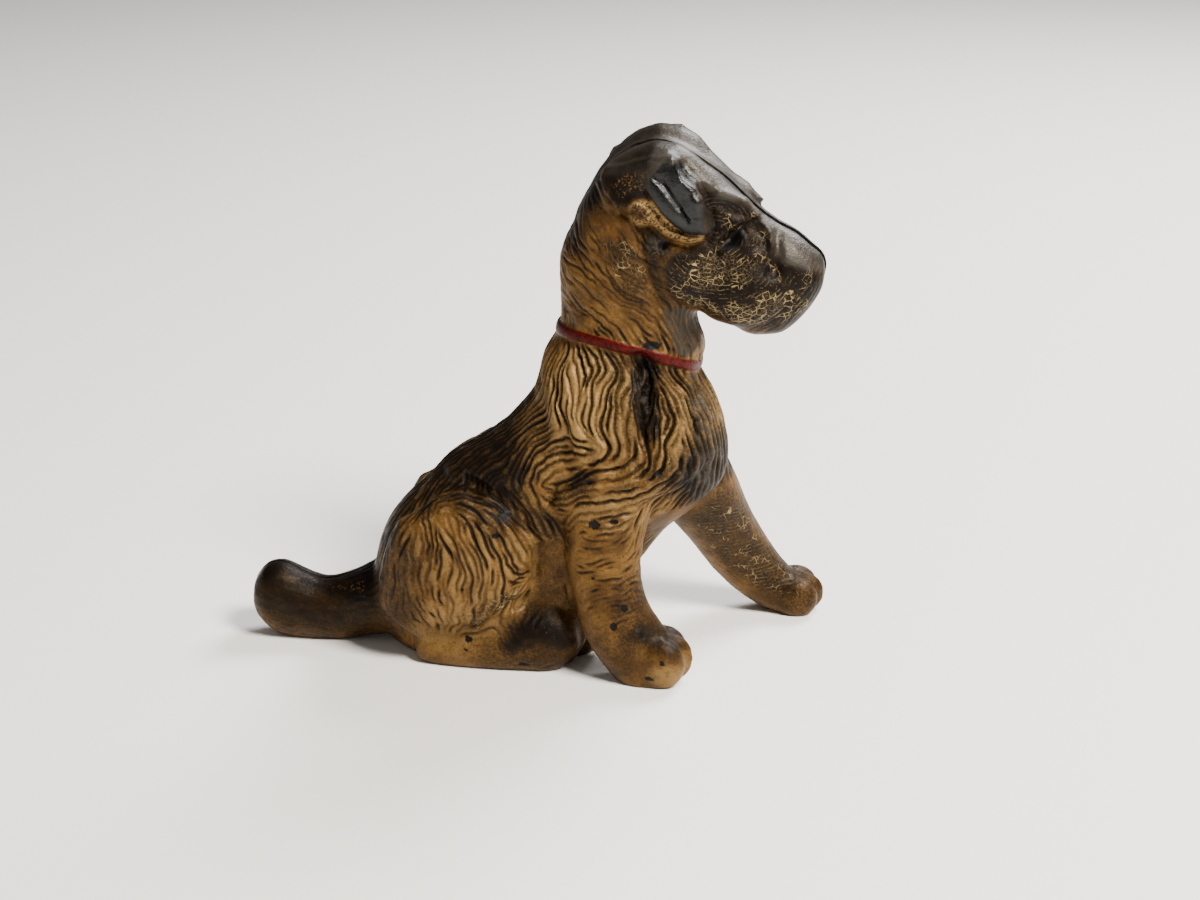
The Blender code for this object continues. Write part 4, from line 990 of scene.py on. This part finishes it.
class STATUE_OT_castings(bpy.types.Operator):
    """Sculpts and paints the two half castings"""
    bl_idname = "statue.castings"
    bl_label = "Half castings"

    def execute(self, context):
        paints, sizes = context.scene.terrier_paints, context.scene.terrier_sizes
        colours = {key: tuple(getattr(paints, key)) for key in TerrierPaints.__annotations__}
        coat = painted_cast_iron(colours)
        dog = whole_dog()
        masks = paint_masks(*sculpt(dog, sizes))
        for name in MASKS:
            made = dog.data.attributes.new(name, "FLOAT", "POINT")
            made.data.foreach_set("value", np.clip(masks[name], 0, 1.2).astype(np.float32))
        pick(dog)
        modify(dog, "thin", "DECIMATE", ratio=FACES_KEPT)
        for name, side, step in (("right", -1, sizes.joint_step), ("left", 1, 0.0)):
            half = half_of(dog, name + "_half", side, coat, step)
            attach(half, "root")
            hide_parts(name + "_casting")
        bpy.data.objects.remove(dog, do_unlink=True)
        return {"FINISHED"}


class STATUE_OT_stage(bpy.types.Operator):
    """Adds the floor, the studio lights and the camera"""
    bl_idname = "statue.stage"
    bl_label = "Stage"

    def execute(self, context):
        sizes = context.scene.terrier_sizes
        bpy.ops.object.select_all(action="DESELECT")
        bpy.ops.mesh.primitive_plane_add(size=FLOOR_SIZE, location=(0, 0, 0))
        floor = bpy.context.active_object
        floor.name = "floor"
        floor.data.materials.append(matt_white_paper(context.scene.terrier_paints.floor))
        world = bpy.data.worlds.new("pale_room")
        world.use_nodes = True
        air = world.node_tree.nodes["Background"]
        air.inputs["Color"].default_value = linear("#F2F2F2")
        air.inputs["Strength"].default_value = ROOM_LIGHT
        context.scene.world = world
        for name, place, size, tone in LAMPS:
            lamp = bpy.data.lights.new(name, "AREA")
            lamp.size, lamp.energy, lamp.color = size, getattr(sizes, name + "_power"), linear(tone)[:3]
            add_object(name, lamp).matrix_world = looking(place, Vector(LAMP_AIM) - Vector(place))
        camera = bpy.data.cameras.new("camera")
        camera.lens, camera.sensor_width = CAMERA_LENS, 36.0
        context.scene.camera = add_object("camera", camera)
        context.scene.camera.matrix_world = looking(CAMERA_PLACE, Vector(CAMERA_WAY))
        return {"FINISHED"}


class STATUE_PT_panel(bpy.types.Panel):
    """The terrier's steps and paints"""
    bl_idname = "STATUE_PT_panel"
    bl_label = "Cast iron terrier"
    bl_space_type = "VIEW_3D"
    bl_region_type = "UI"
    bl_category = "Terrier"

    def draw(self, context):
        for operator in OPERATORS:
            self.layout.operator(operator.bl_idname)
        for group in (context.scene.terrier_sizes, context.scene.terrier_paints):
            for key in type(group).__annotations__:
                self.layout.prop(group, key)


OPERATORS = (STATUE_OT_castings, STATUE_OT_stage)
CLASSES = (TerrierPaints, TerrierSizes, *OPERATORS, STATUE_PT_panel)


def register():
    for item in CLASSES:
        bpy.utils.register_class(item)
    bpy.types.Scene.terrier_paints = bpy.props.PointerProperty(type=TerrierPaints)
    bpy.types.Scene.terrier_sizes = bpy.props.PointerProperty(type=TerrierSizes)


def unregister():
    del bpy.types.Scene.terrier_paints, bpy.types.Scene.terrier_sizes
    for item in reversed(CLASSES):
        bpy.utils.unregister_class(item)


def main():
    register()
    bpy.ops.statue.castings()
    bpy.ops.statue.stage()


if __name__ == "__main__":
    main()
